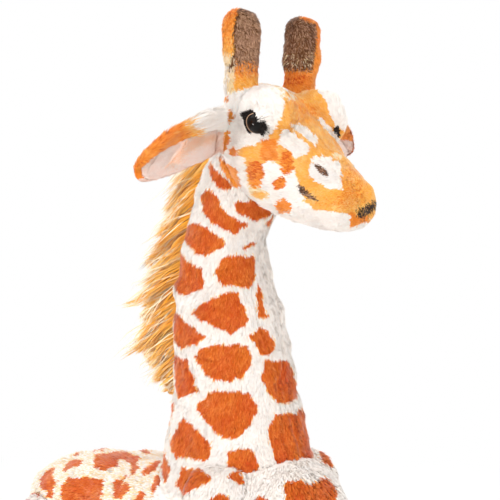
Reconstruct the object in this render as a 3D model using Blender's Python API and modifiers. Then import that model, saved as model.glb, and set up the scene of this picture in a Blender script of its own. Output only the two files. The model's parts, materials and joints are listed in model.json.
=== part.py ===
"""Plush giraffe standing on four stuffed legs, facing +X.

Metres, +Z up. The origin lies on the floor, under the middle of the toy's box.
The torso, neck, head and limbs are stuffed forms that meet along their sewn seams.
The ears turn on their sewn base seams and the tail swings on its root.
"""

import math

import bmesh
import bpy
from mathutils import Matrix, Vector

# Clearance between pieces that touch
GAP = 0.0003

# Torso, from the rump at the back to the chest at the front
RUMP_REACH = 0.241
TORSO_LENGTH = 0.462
TORSO_HEIGHT = 0.150
TORSO_WIDTH = 0.170
BELLY_HEIGHT = 0.197
# Each row: place along, height of the middle, half height, half width
TORSO_SHARES = (
    (0.012, 0.410, 0.180, 0.180),
    (0.070, 0.415, 0.315, 0.305),
    (0.170, 0.425, 0.405, 0.405),
    (0.320, 0.447, 0.450, 0.440),
    (0.500, 0.470, 0.445, 0.430),
    (0.680, 0.540, 0.525, 0.480),
    (0.840, 0.580, 0.565, 0.490),
    (0.940, 0.575, 0.470, 0.400),
    (0.988, 0.565, 0.280, 0.240),
)

# Neck, from inside the chest up into the head
NECK_SETBACK = 0.130
NECK_LENGTH = 0.395
NECK_DEPTH = 0.180
NECK_WIDTH = 0.148
NECK_ROOT_DEPTH = 0.077
# Each row: place up the neck, lean forwards as a share of the length, half depth, half width
NECK_SHARES = (
    (0.000, 0.000, 0.440, 0.440),
    (0.100, 0.005, 0.506, 0.506),
    (0.243, 0.005, 0.450, 0.453),
    (0.400, -0.010, 0.376, 0.380),
    (0.600, -0.033, 0.345, 0.349),
    (0.735, -0.053, 0.260, 0.268),
    (0.840, -0.012, 0.250, 0.257),
    (0.940, 0.046, 0.252, 0.260),
    (1.000, 0.068, 0.200, 0.212),
)

# Head, from the back of the skull to the nose
HEAD_LENGTH = 0.174
HEAD_HEIGHT = 0.124
HEAD_WIDTH = 0.112
HEAD_SETBACK = 0.026
HEAD_SINK = 0.068
# Each row: place along, height of the middle, half height, half width
HEAD_SHARES = (
    (0.020, 0.750, 0.180, 0.230),
    (0.085, 0.685, 0.325, 0.375),
    (0.200, 0.590, 0.450, 0.464),
    (0.330, 0.510, 0.495, 0.500),
    (0.450, 0.425, 0.470, 0.490),
    (0.570, 0.310, 0.400, 0.437),
    (0.690, 0.205, 0.330, 0.375),
    (0.800, 0.125, 0.275, 0.330),
    (0.900, 0.075, 0.220, 0.290),
    (0.970, 0.060, 0.140, 0.200),
)

# Eye mounds, the padded swellings round the eyes
MOUND_RADIUS_ALONG = 0.037
MOUND_RADIUS_OUT = 0.021
MOUND_RADIUS_UP = 0.031
MOUND_ALONG_SHARE = 0.445
MOUND_OUT_SHARE = 0.305
MOUND_UP_SHARE = 0.735

# Eyes with a domed front and a stem, each locked by a washer behind the cloth
EYE_RADIUS = 0.0105
EYE_DOME = 0.0062
EYE_RIM = 0.0015
STEM_RADIUS = 0.0025
CLOTH = 0.0025
WASHER_RADIUS = 0.0075
WASHER_THICKNESS = 0.0018
STEM_TAIL = 0.0022
EYE_FORWARD_DEG = 15.0
EYE_DOWN_DEG = 20.0

# Eyelashes, a padded band round the upper side of each eye
LASH_RADIUS = 0.0017
LASH_START_DEG = -25.0
LASH_SWEEP_DEG = 190.0
LASH_STEPS = 10

# Horns
HORN_LENGTH = 0.116
HORN_DEPTH = 0.037
HORN_WIDTH = 0.039
HORN_ALONG_SHARE = 0.262
HORN_OUT_SHARE = 0.350
HORN_TOP_RISE = 0.200
HORN_LEAN_SHARE = 0.060
HORN_SPREAD_SHARE = 0.030
# Each row: place up the horn, half thickness
HORN_SHARES = (
    (0.00, 0.30),
    (0.16, 0.40),
    (0.42, 0.44),
    (0.70, 0.50),
    (0.88, 0.47),
    (0.97, 0.30),
)

# Ears, a cupped furry leaf with a lining, turning on a sewn root
EAR_LENGTH = 0.105
EAR_WIDTH = 0.062
EAR_THICKNESS = 0.008
EAR_CUP = 0.011
EAR_BEND = 0.021
EAR_ROOT_RADIUS = 0.0047
EAR_ROOT_PROUD = 0.0022
EAR_ROOT_SHARE = 0.48
EAR_UPPER_SHARES = (0.88, 1.02, 1.10, 1.05, 0.98, 0.82, 0.34)
EAR_LOWER_SHARES = (0.50, 0.54, 0.58, 0.61, 0.60, 0.52, 0.28)
EAR_ACROSS_STEPS = 4
EAR_ROLL_DEG = 24.0
EAR_RIGHT_DROOP_DEG = 9.0
EAR_LEFT_DROOP_DEG = 2.0
EAR_RIGHT_SWEEP_DEG = 2.0
EAR_LEFT_SWEEP_DEG = 12.0
LINING_THICKNESS = 0.003
LINING_START_SHARE = 0.10
LINING_END_SHARE = 0.93
LINING_UPPER_SHARE = 0.44
LINING_LOWER_SHARE = 0.94

# Mane down the back of the neck
MANE_WIDTH = 0.026
MANE_DEPTH = 0.054
# Each row: place up the neck, half size
MANE_SHARES = (
    (0.300, 0.20),
    (0.345, 0.42),
    (0.430, 0.58),
    (0.530, 0.64),
    (0.630, 0.52),
    (0.740, 0.40),
    (0.850, 0.39),
    (0.930, 0.38),
    (1.000, 0.28),
)

# Legs and hooves
FORELEG_SETBACK = 0.092
HINDLEG_SETBACK = 0.082
LEG_SPREAD = 0.104
FORELEG_TOP_RISE = 0.164
HINDLEG_TOP_RISE = 0.090
LEG_WIDTH = 0.080
# Each row: place up the leg, half width
FORELEG_SHARES = (
    (0.00, 0.34),
    (0.22, 0.34),
    (0.44, 0.38),
    (0.62, 0.49),
    (0.80, 0.60),
    (0.93, 0.50),
    (0.99, 0.24),
)
HINDLEG_SHARES = (
    (0.00, 0.34),
    (0.25, 0.33),
    (0.48, 0.37),
    (0.70, 0.52),
    (0.88, 0.53),
    (0.98, 0.30),
)
HOOF_HEIGHT = 0.046
HOOF_RADIUS = 0.031
# Each row: place up the hoof, half width
HOOF_SHARES = ((0.0, 0.94), (0.12, 1.0), (0.60, 0.96), (0.92, 0.90), (1.0, 0.86))

# Tail and its tuft
TAIL_ROOT_RADIUS = 0.0095
TAIL_RADIUS = 0.0065
TAIL_LENGTH = 0.135
TAIL_ROOT_ALONG_SHARE = 0.060
TAIL_ROOT_RISE_DEG = 52.0
TAIL_ROOT_PROUD = 0.003
TAIL_CURVE_SHARES = ((0.0, 0.0), (0.05, 0.50), (0.14, 0.90), (0.32, 1.08), (0.65, 1.04), (1.0, 1.0))
TUFT_LENGTH = 0.064
TUFT_RADIUS = 0.014
TUFT_OVERLAP = 0.010
TUFT_SHARES = ((0.0, 0.62), (0.18, 0.86), (0.45, 1.0), (0.75, 0.70), (0.96, 0.26))

# Fineness of the forms
BIG_SIDES = 8
SLIM_SIDES = 8
ROUND_STEPS = 16
DOME_STEPS = 5
MERGE = 0.00005

# Colours of the materials as red, green, blue, with roughness
RUST_COAT = ((0.63, 0.10, 0.012), 0.9)
CREAM_COAT = ((0.94, 0.83, 0.70), 0.9)
AMBER_COAT = ((0.87, 0.33, 0.05), 0.9)
BROWN_COAT = ((0.23, 0.10, 0.045), 0.9)
PINK_PILE = ((0.92, 0.52, 0.40), 0.85)
GOLDEN_HAIR = ((0.64, 0.24, 0.02), 0.8)
BLACK_FELT = ((0.02, 0.015, 0.014), 0.95)
BLACK_EYE = ((0.008, 0.006, 0.006), 0.05)
WHITE_PLASTIC = ((0.8, 0.8, 0.78), 0.4)

UP = Vector((0, 0, 1))
AHEAD = Vector((1, 0, 0))
LEFT = Vector((0, 1, 0))


def clear_scene():
    """Remove every object of the scene."""
    for item in list(bpy.data.objects):
        bpy.data.objects.remove(item, do_unlink=True)


def new_collection(name):
    """Make a collection and link it to the scene."""
    group = bpy.data.collections.new(name)
    bpy.context.scene.collection.children.link(group)
    return group


def make_material(name, finish):
    """Make a Principled material of one colour and roughness."""
    (red, green, blue), roughness = finish
    material = bpy.data.materials.new(name)
    material.use_nodes = True
    shader = material.node_tree.nodes["Principled BSDF"]
    shader.inputs["Base Color"].default_value = (red, green, blue, 1)
    shader.inputs["Roughness"].default_value = roughness
    shader.inputs["Metallic"].default_value = 0
    return material


def make_object(name, bm, group, material=None, closed=True):
    """Turn a bmesh into an object of a collection, with a closed one's faces out."""
    if closed:
        bmesh.ops.recalc_face_normals(bm, faces=bm.faces[:])
    mesh = bpy.data.meshes.new(name)
    bm.to_mesh(mesh)
    bm.free()
    mesh.shade_smooth()
    piece = bpy.data.objects.new(name, mesh)
    group.objects.link(piece)
    if material is not None:
        mesh.materials.append(material)
    return piece


def hide_cutter(piece):
    """Mark an object as a cutter."""
    piece.hide_render = True
    piece.display_type = "WIRE"


def subdivide(piece, levels):
    """Smooth a cage with subdivision."""
    smooth = piece.modifiers.new("Smooth", "SUBSURF")
    smooth.levels = levels
    smooth.render_levels = levels


def swell(piece, distance):
    """Push a form's surface outwards by a distance."""
    push = piece.modifiers.new("Swell", "DISPLACE")
    push.strength = distance
    push.mid_level = 0


def combine(piece, tool, operation):
    """Join a tool to a piece or cut it away."""
    boolean = piece.modifiers.new(operation.title(), "BOOLEAN")
    boolean.operation = operation
    boolean.solver = "EXACT"
    boolean.object = tool


def cut_by(piece, tools):
    """Cut each tool away from a piece."""
    for tool in tools:
        combine(piece, tool, "DIFFERENCE")


def room_of(piece, cutters):
    """Copy a form, grown by the clearance, as a cutter that leaves room for it."""
    room = piece.copy()
    room.name = piece.name + "_room"
    cutters.objects.link(room)
    hide_cutter(room)
    swell(room, GAP)
    return room


def evaluated(piece):
    """Return a piece as its modifiers leave it."""
    return piece.evaluated_get(bpy.context.evaluated_depsgraph_get())


def skin_point(piece, inside, direction):
    """Return the place where a ray from inside a form comes out of it."""
    found, place, _, _ = evaluated(piece).ray_cast(inside, direction)
    return place if found else inside


def ring_matrix(centre, along, side, half_deep, half_wide):
    """Return the matrix that puts a unit circle across a form."""
    deep = along.cross(side).normalized()
    columns = (deep * half_deep, side * half_wide, along, centre)
    matrix = Matrix([column.to_4d() for column in columns]).transposed()
    for row in range(3):
        matrix[3][row] = 0
    matrix[3][3] = 1
    return matrix


def loft(stations, sides, levels, flat_ends=(False, False)):
    """Bridge rings of circles into a closed cage.

    Each station is a centre, a direction along, a side direction, a half depth and a half
    width. The rings are drawn larger than asked, as much as subdivision draws them in.
    """
    bm = bmesh.new()
    crease = bm.edges.layers.float.new("crease_edge")
    gain = 3 / (2 + math.cos(math.tau / sides)) if levels else 1
    rings = []
    for centre, along, side, half_deep, half_wide in stations:
        matrix = ring_matrix(centre, along, side, half_deep * gain, half_wide * gain)
        made = bmesh.ops.create_circle(bm, segments=sides, radius=1, matrix=matrix)
        corners = set(made["verts"])
        rings.append([edge for edge in bm.edges if set(edge.verts) <= corners])
    for lower, upper in zip(rings, rings[1:]):
        bmesh.ops.bridge_loops(bm, edges=lower + upper)
    for ring, flat in ((rings[0], flat_ends[0]), (rings[-1], flat_ends[1])):
        bmesh.ops.holes_fill(bm, edges=ring, sides=sides)
        if flat:
            for edge in ring:
                edge[crease] = 1
    return bm


def path_directions(points):
    """Return the direction of a path at each of its points."""
    directions = []
    for index in range(len(points)):
        before = points[max(index - 1, 0)]
        after = points[min(index + 1, len(points) - 1)]
        directions.append((after - before).normalized())
    return directions


def lathe(name, outline, group, material=None):
    """Turn an outline of radius and height pairs about Z."""
    mesh = bpy.data.meshes.new(name)
    points = [(radius, 0, height) for radius, height in outline]
    closed = outline[0][0] > 0
    count = len(points)
    edges = [(index, (index + 1) % count) for index in range(count if closed else count - 1)]
    mesh.from_pydata(points, edges, [])
    if material is not None:
        mesh.materials.append(material)
    piece = bpy.data.objects.new(name, mesh)
    group.objects.link(piece)
    screw = piece.modifiers.new("Turn", "SCREW")
    screw.steps = ROUND_STEPS
    screw.render_steps = ROUND_STEPS
    screw.axis = "Z"
    screw.use_merge_vertices = True
    screw.merge_threshold = MERGE
    return piece


class Builder:
    """Holds the collections and makes the pieces in order."""

    def __init__(self):
        self.parts = new_collection("plush_giraffe")
        self.cutters = new_collection("cutters")
        self.rump_x = -RUMP_REACH
        self.chest_x = self.rump_x + TORSO_LENGTH
        self.neck_x = self.chest_x - NECK_SETBACK
        self.neck_foot_z = BELLY_HEIGHT + TORSO_HEIGHT - NECK_ROOT_DEPTH
        self.neck_top_z = self.neck_foot_z + NECK_LENGTH
        self.head_x = self.neck_x + NECK_LENGTH * NECK_SHARES[-1][1] - HEAD_SETBACK
        self.head_z = self.neck_top_z - HEAD_SINK

    def torso_place(self, along_share, height_share):
        """Return a place in the torso's middle plane."""
        along = self.rump_x + TORSO_LENGTH * along_share
        return Vector((along, 0, BELLY_HEIGHT + TORSO_HEIGHT * height_share))

    def head_place(self, along_share, out_share, up_share):
        """Return a place in the head, from shares of its length, width and height."""
        along = self.head_x + HEAD_LENGTH * along_share
        return Vector((along, HEAD_WIDTH * out_share, self.head_z + HEAD_HEIGHT * up_share))

    def neck_place(self, up_share, lean_share):
        """Return a place on the neck's middle line."""
        lean = self.neck_x + NECK_LENGTH * lean_share
        return Vector((lean, 0, self.neck_foot_z + NECK_LENGTH * up_share))

    def make_torso(self):
        """Make the stuffed torso."""
        stations = []
        for along, middle, half_height, half_width in TORSO_SHARES:
            centre = self.torso_place(along, middle)
            stations.append((centre, AHEAD, LEFT, TORSO_HEIGHT * half_height, TORSO_WIDTH * half_width))
        coat = make_material("torso_coat", RUST_COAT)
        self.torso = make_object("torso", loft(stations, BIG_SIDES, 2), self.parts, coat)
        subdivide(self.torso, 2)
        self.torso_room = room_of(self.torso, self.cutters)

    def make_neck(self):
        """Make the stuffed neck, cut where it meets the torso."""
        centres = [self.neck_place(up, lean) for up, lean, _, _ in NECK_SHARES]
        directions = path_directions(centres)
        stations = []
        for centre, along, (_, _, deep, wide) in zip(centres, directions, NECK_SHARES):
            stations.append((centre, along, LEFT, NECK_DEPTH * deep, NECK_WIDTH * wide))
        coat = make_material("neck_coat", RUST_COAT)
        self.neck = make_object("neck", loft(stations, BIG_SIDES, 2), self.parts, coat)
        subdivide(self.neck, 2)
        self.neck_room = room_of(self.neck, self.cutters)
        cut_by(self.neck, [self.torso_room])

    def make_head(self):
        """Make the stuffed head with its eye mounds, cut where it meets the neck."""
        stations = []
        for along, middle, half_height, half_width in HEAD_SHARES:
            centre = self.head_place(along, 0, middle)
            stations.append((centre, AHEAD, LEFT, HEAD_HEIGHT * half_height, HEAD_WIDTH * half_width))
        coat = make_material("head_coat", AMBER_COAT)
        self.head = make_object("head", loft(stations, BIG_SIDES, 2), self.parts, coat)
        subdivide(self.head, 2)
        self.head_rooms = [room_of(self.head, self.cutters)]
        self.mounds = {}
        for side_name, side in (("right", -1), ("left", 1)):
            mound = self.make_mound(side_name, side)
            self.mounds[side] = mound
            combine(self.head, mound, "UNION")
            self.head_rooms.append(room_of(mound, self.cutters))
        cut_by(self.head, [self.neck_room])

    def make_mound(self, side_name, side):
        """Make the swelling round one eye."""
        centre = self.head_place(MOUND_ALONG_SHARE, MOUND_OUT_SHARE * side, MOUND_UP_SHARE)
        radii = (MOUND_RADIUS_ALONG, MOUND_RADIUS_OUT, MOUND_RADIUS_UP)
        matrix = Matrix.Translation(centre) @ Matrix.Diagonal(radii).to_4x4()
        bm = bmesh.new()
        bmesh.ops.create_uvsphere(bm, u_segments=ROUND_STEPS, v_segments=ROUND_STEPS // 2,
                                  radius=1, matrix=matrix)
        mound = make_object("mound_" + side_name, bm, self.cutters)
        hide_cutter(mound)
        return mound

    def eye_matrix(self, side):
        """Return the frame of one eye, with Z pointing out of the head."""
        centre = self.head_place(MOUND_ALONG_SHARE, MOUND_OUT_SHARE * side, MOUND_UP_SHARE)
        forward = math.radians(EYE_FORWARD_DEG)
        down = math.radians(EYE_DOWN_DEG)
        out = Vector((math.sin(forward) * math.cos(down),
                      side * math.cos(forward) * math.cos(down), -math.sin(down)))
        seat = skin_point(self.mounds[side], centre, out)
        across = UP.cross(out).normalized()
        upper = out.cross(across)
        columns = (across, upper, out)
        turn = Matrix([column for column in columns]).transposed().to_4x4()
        return Matrix.Translation(seat - out * EYE_RIM) @ turn

    def eye_dome(self, grow):
        """Return the outline of an eye's dome and rim, grown by a clearance."""
        outline = []
        for step in range(DOME_STEPS + 1):
            angle = math.radians(90) * (1 - step / DOME_STEPS)
            radius = (EYE_RADIUS + grow) * math.cos(angle)
            height = (EYE_DOME + grow) * math.sin(angle)
            outline.append((radius if step else 0, height))
        outline.append((EYE_RADIUS + grow, -EYE_RIM - grow))
        return outline

    def make_eye(self, side_name, side):
        """Make one eye with its stem and locking washer, and its pocket in the head."""
        frame = self.eye_matrix(side)
        washer_top = -EYE_RIM - CLOTH
        washer_foot = washer_top - WASHER_THICKNESS
        stem_foot = washer_foot - STEM_TAIL
        outline = self.eye_dome(0)
        outline += [(STEM_RADIUS, -EYE_RIM), (STEM_RADIUS, stem_foot), (0, stem_foot)]
        black = make_material("eye_gloss_" + side_name, BLACK_EYE)
        eye = lathe("eye_" + side_name, outline, self.parts, black)
        eye.matrix_world = frame

        hole = STEM_RADIUS + GAP
        ring = [(hole, washer_top), (WASHER_RADIUS, washer_top),
                (WASHER_RADIUS, washer_foot), (hole, washer_foot)]
        white = make_material("washer_white_" + side_name, WHITE_PLASTIC)
        washer = lathe("eye_washer_" + side_name, ring, self.parts, white)
        washer.matrix_world = frame

        outline = self.eye_dome(GAP)
        outline += [(hole, -EYE_RIM - GAP), (hole, washer_top + GAP),
                    (WASHER_RADIUS + GAP, washer_top + GAP), (WASHER_RADIUS + GAP, washer_foot - GAP),
                    (hole, washer_foot - GAP), (hole, stem_foot - GAP), (0, stem_foot - GAP)]
        pocket = lathe("eye_pocket_" + side_name, outline, self.cutters)
        pocket.matrix_world = frame
        hide_cutter(pocket)
        cut_by(self.head, [pocket])
        self.make_lash(side_name, side, frame, pocket)

    def make_lash(self, side_name, side, frame, pocket):
        """Make the band of lashes round the upper side of one eye."""
        radius = EYE_RADIUS + GAP + LASH_RADIUS
        centres = []
        directions = []
        for step in range(LASH_STEPS + 1):
            angle = math.radians(LASH_START_DEG + LASH_SWEEP_DEG * step / LASH_STEPS)
            across = -side * math.cos(angle)
            centres.append(Vector((radius * across, radius * math.sin(angle), 0)))
            directions.append(Vector((side * math.sin(angle), math.cos(angle), 0)))
        out = Vector((0, 0, 1))
        stations = [(centre, along, out, LASH_RADIUS, LASH_RADIUS)
                    for centre, along in zip(centres, directions)]
        felt = make_material("lash_felt_" + side_name, BLACK_FELT)
        lash = make_object("eyelash_" + side_name, loft(stations, SLIM_SIDES, 0), self.parts, felt)
        lash.matrix_world = frame
        cut_by(lash, self.head_rooms + [pocket])

    def make_horn(self, side_name, side):
        """Make one stuffed horn, cut where it stands on the head."""
        foot = self.head_place(HORN_ALONG_SHARE, HORN_OUT_SHARE * side, 0)
        foot.z = self.head_z + HORN_TOP_RISE - HORN_LENGTH
        lean = Vector((HORN_LEAN_SHARE, HORN_SPREAD_SHARE * side, 1)).normalized()
        side_way = lean.cross(AHEAD).normalized()
        stations = []
        for up, half in HORN_SHARES:
            stations.append((foot + lean * HORN_LENGTH * up, lean, side_way,
                             HORN_DEPTH * half, HORN_WIDTH * half))
        coat = make_material("horn_coat_" + side_name, BROWN_COAT)
        horn = make_object("horn_" + side_name, loft(stations, SLIM_SIDES, 1), self.parts, coat)
        subdivide(horn, 1)
        cut_by(horn, self.head_rooms)

    def ear_matrix(self, side, droop_deg, sweep_deg):
        """Return the frame of one ear: X along it, Y across it, Z out of its cup."""
        row = HEAD_SHARES[2]
        inside = self.head_place(row[0], 0, row[1])
        seat = skin_point(self.head, inside, LEFT * side)
        droop = math.radians(droop_deg)
        roll = math.radians(EAR_ROLL_DEG)
        along = Vector((0, side * math.cos(droop), -math.sin(droop)))
        lift = Vector((0, side * math.sin(droop), math.cos(droop)))
        face = AHEAD * math.cos(roll) - lift * math.sin(roll)
        across = face.cross(along)
        sweep = Matrix.Rotation(math.radians(sweep_deg), 4, across)
        turn = sweep @ Matrix([along, across, face]).transposed().to_4x4()
        return Matrix.Translation(seat + LEFT * side * EAR_ROOT_PROUD) @ turn

    def ear_sheet(self, side, start_share, end_share, upper_share, lower_share, lift):
        """Return the curved leaf of an ear, wider above and bent down towards its tip."""
        steps = len(EAR_UPPER_SHARES) - 1
        bm = bmesh.new()
        bmesh.ops.create_grid(bm, x_segments=steps, y_segments=EAR_ACROSS_STEPS, size=1)
        for corner in bm.verts:
            place = (corner.co.x + 1) / 2
            along_share = start_share + (end_share - start_share) * place
            spot = along_share * steps
            row = min(int(spot), steps - 1)
            upper = corner.co.y * side > 0
            widths = EAR_UPPER_SHARES if upper else EAR_LOWER_SHARES
            width = widths[row] + (widths[row + 1] - widths[row]) * (spot - row)
            across_share = corner.co.y * (upper_share if upper else lower_share)
            curl = EAR_CUP * math.sin(math.pi * min(along_share, 0.5)) * across_share ** 2
            bend = -side * EAR_BEND * along_share ** 2
            corner.co = Vector((EAR_LENGTH * along_share,
                                EAR_WIDTH / 2 * width * across_share + bend, curl + lift))
        return bm

    def make_ear(self, side_name, side, droop_deg, sweep_deg):
        """Make one ear with its lining, and its seat in the head."""
        frame = self.ear_matrix(side, droop_deg, sweep_deg)
        coat = make_material("ear_coat_" + side_name, AMBER_COAT)
        sheet = self.ear_sheet(side, 0, 1, 1, 1, 0)
        ear = make_object("ear_" + side_name, sheet, self.parts, coat, closed=False)
        wall = ear.modifiers.new("Padding", "SOLIDIFY")
        wall.thickness = EAR_THICKNESS
        wall.offset = 0
        subdivide(ear, 1)
        ear.matrix_world = frame
        root_width = EAR_WIDTH * EAR_ROOT_SHARE
        root = self.make_roll("ear_root_" + side_name, EAR_ROOT_RADIUS, root_width, frame)
        combine(ear, root, "UNION")
        ear_room = room_of(ear, self.cutters)
        seat = self.make_roll("ear_seat_" + side_name, EAR_ROOT_RADIUS + GAP,
                              root_width + 2 * GAP, frame)
        cut_by(self.head, [seat])

        pile = make_material("ear_lining_pile_" + side_name, PINK_PILE)
        sheet = self.ear_sheet(side, LINING_START_SHARE, LINING_END_SHARE, LINING_UPPER_SHARE,
                               LINING_LOWER_SHARE, EAR_THICKNESS / 2)
        lining = make_object("ear_lining_" + side_name, sheet, self.parts, pile, closed=False)
        wall = lining.modifiers.new("Padding", "SOLIDIFY")
        wall.thickness = LINING_THICKNESS
        wall.offset = 1
        subdivide(lining, 1)
        lining.matrix_world = frame
        cut_by(lining, [ear_room])

    def make_roll(self, name, radius, width, frame):
        """Make a roll that lies across an ear's root."""
        bm = bmesh.new()
        lay = Matrix.Rotation(math.radians(90), 4, "X")
        bmesh.ops.create_cone(bm, cap_ends=True, segments=ROUND_STEPS, radius1=radius,
                              radius2=radius, depth=width, matrix=lay)
        roll = make_object(name, bm, self.cutters)
        roll.matrix_world = frame
        hide_cutter(roll)
        return roll

    def make_mane(self):
        """Make the mane, cut where it grows from the neck and the head."""
        stations = []
        for up, half in MANE_SHARES:
            centre = self.neck_place(up, 0)
            back = skin_point(self.neck, self.neck_line(up), -AHEAD)
            centre.x = back.x
            stations.append([centre, None, LEFT, MANE_DEPTH * half * 2, MANE_WIDTH * half])
        directions = path_directions([station[0] for station in stations])
        for station, along in zip(stations, directions):
            station[1] = along
        hair = make_material("mane_hair", GOLDEN_HAIR)
        mane = make_object("mane", loft(stations, SLIM_SIDES, 1), self.parts, hair)
        subdivide(mane, 1)
        cut_by(mane, [self.neck_room] + self.head_rooms[:1])

    def neck_line(self, up_share):
        """Return the neck's middle at a height, between the rows of its table."""
        for (low, low_lean, _, _), (high, high_lean, _, _) in zip(NECK_SHARES, NECK_SHARES[1:]):
            if low <= up_share <= high:
                part = (up_share - low) / (high - low)
                return self.neck_place(up_share, low_lean + (high_lean - low_lean) * part)
        return self.neck_place(up_share, NECK_SHARES[-1][1])

    def make_leg(self, name, along, side, rise, shares):
        """Make one leg with its hoof, from the floor up over the torso's side."""
        top = BELLY_HEIGHT + rise
        foot = HOOF_HEIGHT + GAP
        across = side * LEG_SPREAD / 2
        stations = []
        for up, half in shares:
            centre = Vector((along, across, foot + (top - foot) * up))
            stations.append((centre, UP, LEFT, LEG_WIDTH * half, LEG_WIDTH * half))
        coat = make_material("leg_coat_" + name, RUST_COAT)
        leg = make_object("leg_" + name, loft(stations, SLIM_SIDES, 1, (True, False)),
                          self.parts, coat)
        subdivide(leg, 1)
        cut_by(leg, [self.neck_room, self.torso_room])
        stations = []
        for up, half in HOOF_SHARES:
            centre = Vector((along, across, HOOF_HEIGHT * up))
            stations.append((centre, UP, LEFT, HOOF_RADIUS * half, HOOF_RADIUS * half))
        brown = make_material("hoof_coat_" + name, BROWN_COAT)
        hoof = make_object("hoof_" + name, loft(stations, SLIM_SIDES, 1, (True, True)),
                           self.parts, brown)
        subdivide(hoof, 1)

    def make_tail(self):
        """Make the tail with its root ball, its tuft and its socket in the torso."""
        inside = self.torso_place(TAIL_ROOT_ALONG_SHARE, TORSO_SHARES[0][1])
        rise = math.radians(TAIL_ROOT_RISE_DEG)
        out = Vector((-math.cos(rise), 0, math.sin(rise)))
        root = skin_point(self.torso, inside, out) + out * TAIL_ROOT_PROUD
        hang_x = self.rump_x - TAIL_RADIUS - GAP
        points = []
        for down, back in TAIL_CURVE_SHARES:
            points.append(Vector((root.x + (hang_x - root.x) * back, 0, root.z - TAIL_LENGTH * down)))
        stations = [(point, along, LEFT, TAIL_RADIUS, TAIL_RADIUS)
                    for point, along in zip(points, path_directions(points))]
        coat = make_material("tail_coat", CREAM_COAT)
        tail = make_object("tail", loft(stations, SLIM_SIDES, 1), self.parts, coat)
        subdivide(tail, 1)
        cut_by(tail, [self.torso_room])
        ball = self.make_ball("tail_root", root, TAIL_ROOT_RADIUS)
        combine(tail, ball, "UNION")
        tail_room = room_of(tail, self.cutters)
        flat_share = math.cos(math.pi / ROUND_STEPS) ** 2
        socket = self.make_ball("tail_socket", root, (TAIL_ROOT_RADIUS + GAP) / flat_share)
        cut_by(self.torso, [socket])

        top = points[-1] + UP * TUFT_OVERLAP
        stations = []
        for down, half in TUFT_SHARES:
            centre = top - UP * TUFT_LENGTH * down
            stations.append((centre, -UP, LEFT, TUFT_RADIUS * half, TUFT_RADIUS * half))
        hair = make_material("tuft_hair", BROWN_COAT)
        tuft = make_object("tail_tuft", loft(stations, SLIM_SIDES, 1), self.parts, hair)
        subdivide(tuft, 1)
        cut_by(tuft, [tail_room])

    def make_ball(self, name, centre, radius):
        """Make a ball among the cutters."""
        bm = bmesh.new()
        bmesh.ops.create_uvsphere(bm, u_segments=ROUND_STEPS, v_segments=ROUND_STEPS // 2,
                                  radius=radius, matrix=Matrix.Translation(centre))
        ball = make_object(name, bm, self.cutters)
        hide_cutter(ball)
        return ball


def main():
    """Build the giraffe."""
    clear_scene()
    builder = Builder()
    builder.make_torso()
    builder.make_neck()
    builder.make_head()
    builder.make_mane()
    ears = (("right", -1, EAR_RIGHT_DROOP_DEG, EAR_RIGHT_SWEEP_DEG),
            ("left", 1, EAR_LEFT_DROOP_DEG, EAR_LEFT_SWEEP_DEG))
    for side_name, side, droop_deg, sweep_deg in ears:
        builder.make_eye(side_name, side)
        builder.make_horn(side_name, side)
        builder.make_ear(side_name, side, droop_deg, sweep_deg)
        builder.make_leg("front_" + side_name, builder.chest_x - FORELEG_SETBACK, side,
                         FORELEG_TOP_RISE, FORELEG_SHARES)
        builder.make_leg("hind_" + side_name, builder.rump_x + HINDLEG_SETBACK, side,
                         HINDLEG_TOP_RISE, HINDLEG_SHARES)
    builder.make_tail()


if __name__ == "__main__":
    main()
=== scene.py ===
"""Dresses the plush giraffe: stuffed skins, combed pile, hair, eyes and a plain studio."""

import json
import logging
import math
from dataclasses import dataclass
from enum import Enum
from typing import Callable

import bmesh
import bpy
import numpy as np
from mathutils import Matrix, Vector
from mathutils.bvhtree import BVHTree


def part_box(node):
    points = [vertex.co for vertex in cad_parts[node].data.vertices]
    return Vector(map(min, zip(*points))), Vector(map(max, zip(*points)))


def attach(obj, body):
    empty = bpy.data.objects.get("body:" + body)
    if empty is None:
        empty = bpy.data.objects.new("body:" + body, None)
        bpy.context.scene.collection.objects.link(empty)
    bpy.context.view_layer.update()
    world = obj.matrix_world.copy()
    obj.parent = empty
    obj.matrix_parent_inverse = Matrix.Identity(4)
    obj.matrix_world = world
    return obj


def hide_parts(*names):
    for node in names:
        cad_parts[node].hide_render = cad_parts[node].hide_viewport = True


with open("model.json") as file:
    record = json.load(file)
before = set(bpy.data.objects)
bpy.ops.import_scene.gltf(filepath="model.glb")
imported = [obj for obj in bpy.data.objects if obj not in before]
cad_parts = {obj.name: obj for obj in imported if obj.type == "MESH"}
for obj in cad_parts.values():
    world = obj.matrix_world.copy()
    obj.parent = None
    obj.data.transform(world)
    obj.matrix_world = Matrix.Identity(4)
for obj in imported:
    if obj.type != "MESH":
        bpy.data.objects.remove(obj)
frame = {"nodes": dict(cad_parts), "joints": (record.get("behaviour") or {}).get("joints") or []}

LOG = logging.getLogger("plush_giraffe")
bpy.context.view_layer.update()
MM = 0.001
FRAME_PIXELS = 500

Pixel = tuple[float, float]
Outline = tuple[Pixel, ...]
Field = Callable[[np.ndarray], np.ndarray]
Nap = Callable[[np.ndarray, np.ndarray], np.ndarray]
Pattern = Callable[[np.ndarray, np.ndarray, np.random.Generator], np.ndarray]

WHITE = (1.0, 1.0, 1.0, 1.0)
MIRROR = np.array((1.0, -1.0, 1.0))
# Places beside a seam: how the cloth rises to it, how its lumps fade, and where no hair grows.
SINK_BAND = (1.0 * MM, 9.0 * MM)
SWELL_BAND = (0.5 * MM, 12 * MM)
BARE_REACH = 1.6 * MM
# The share of a palette band that a hair's own drift may use, and the width of its bake chart.
BAND_SHARE = 0.36
CHART_STEP = 0.003


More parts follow.
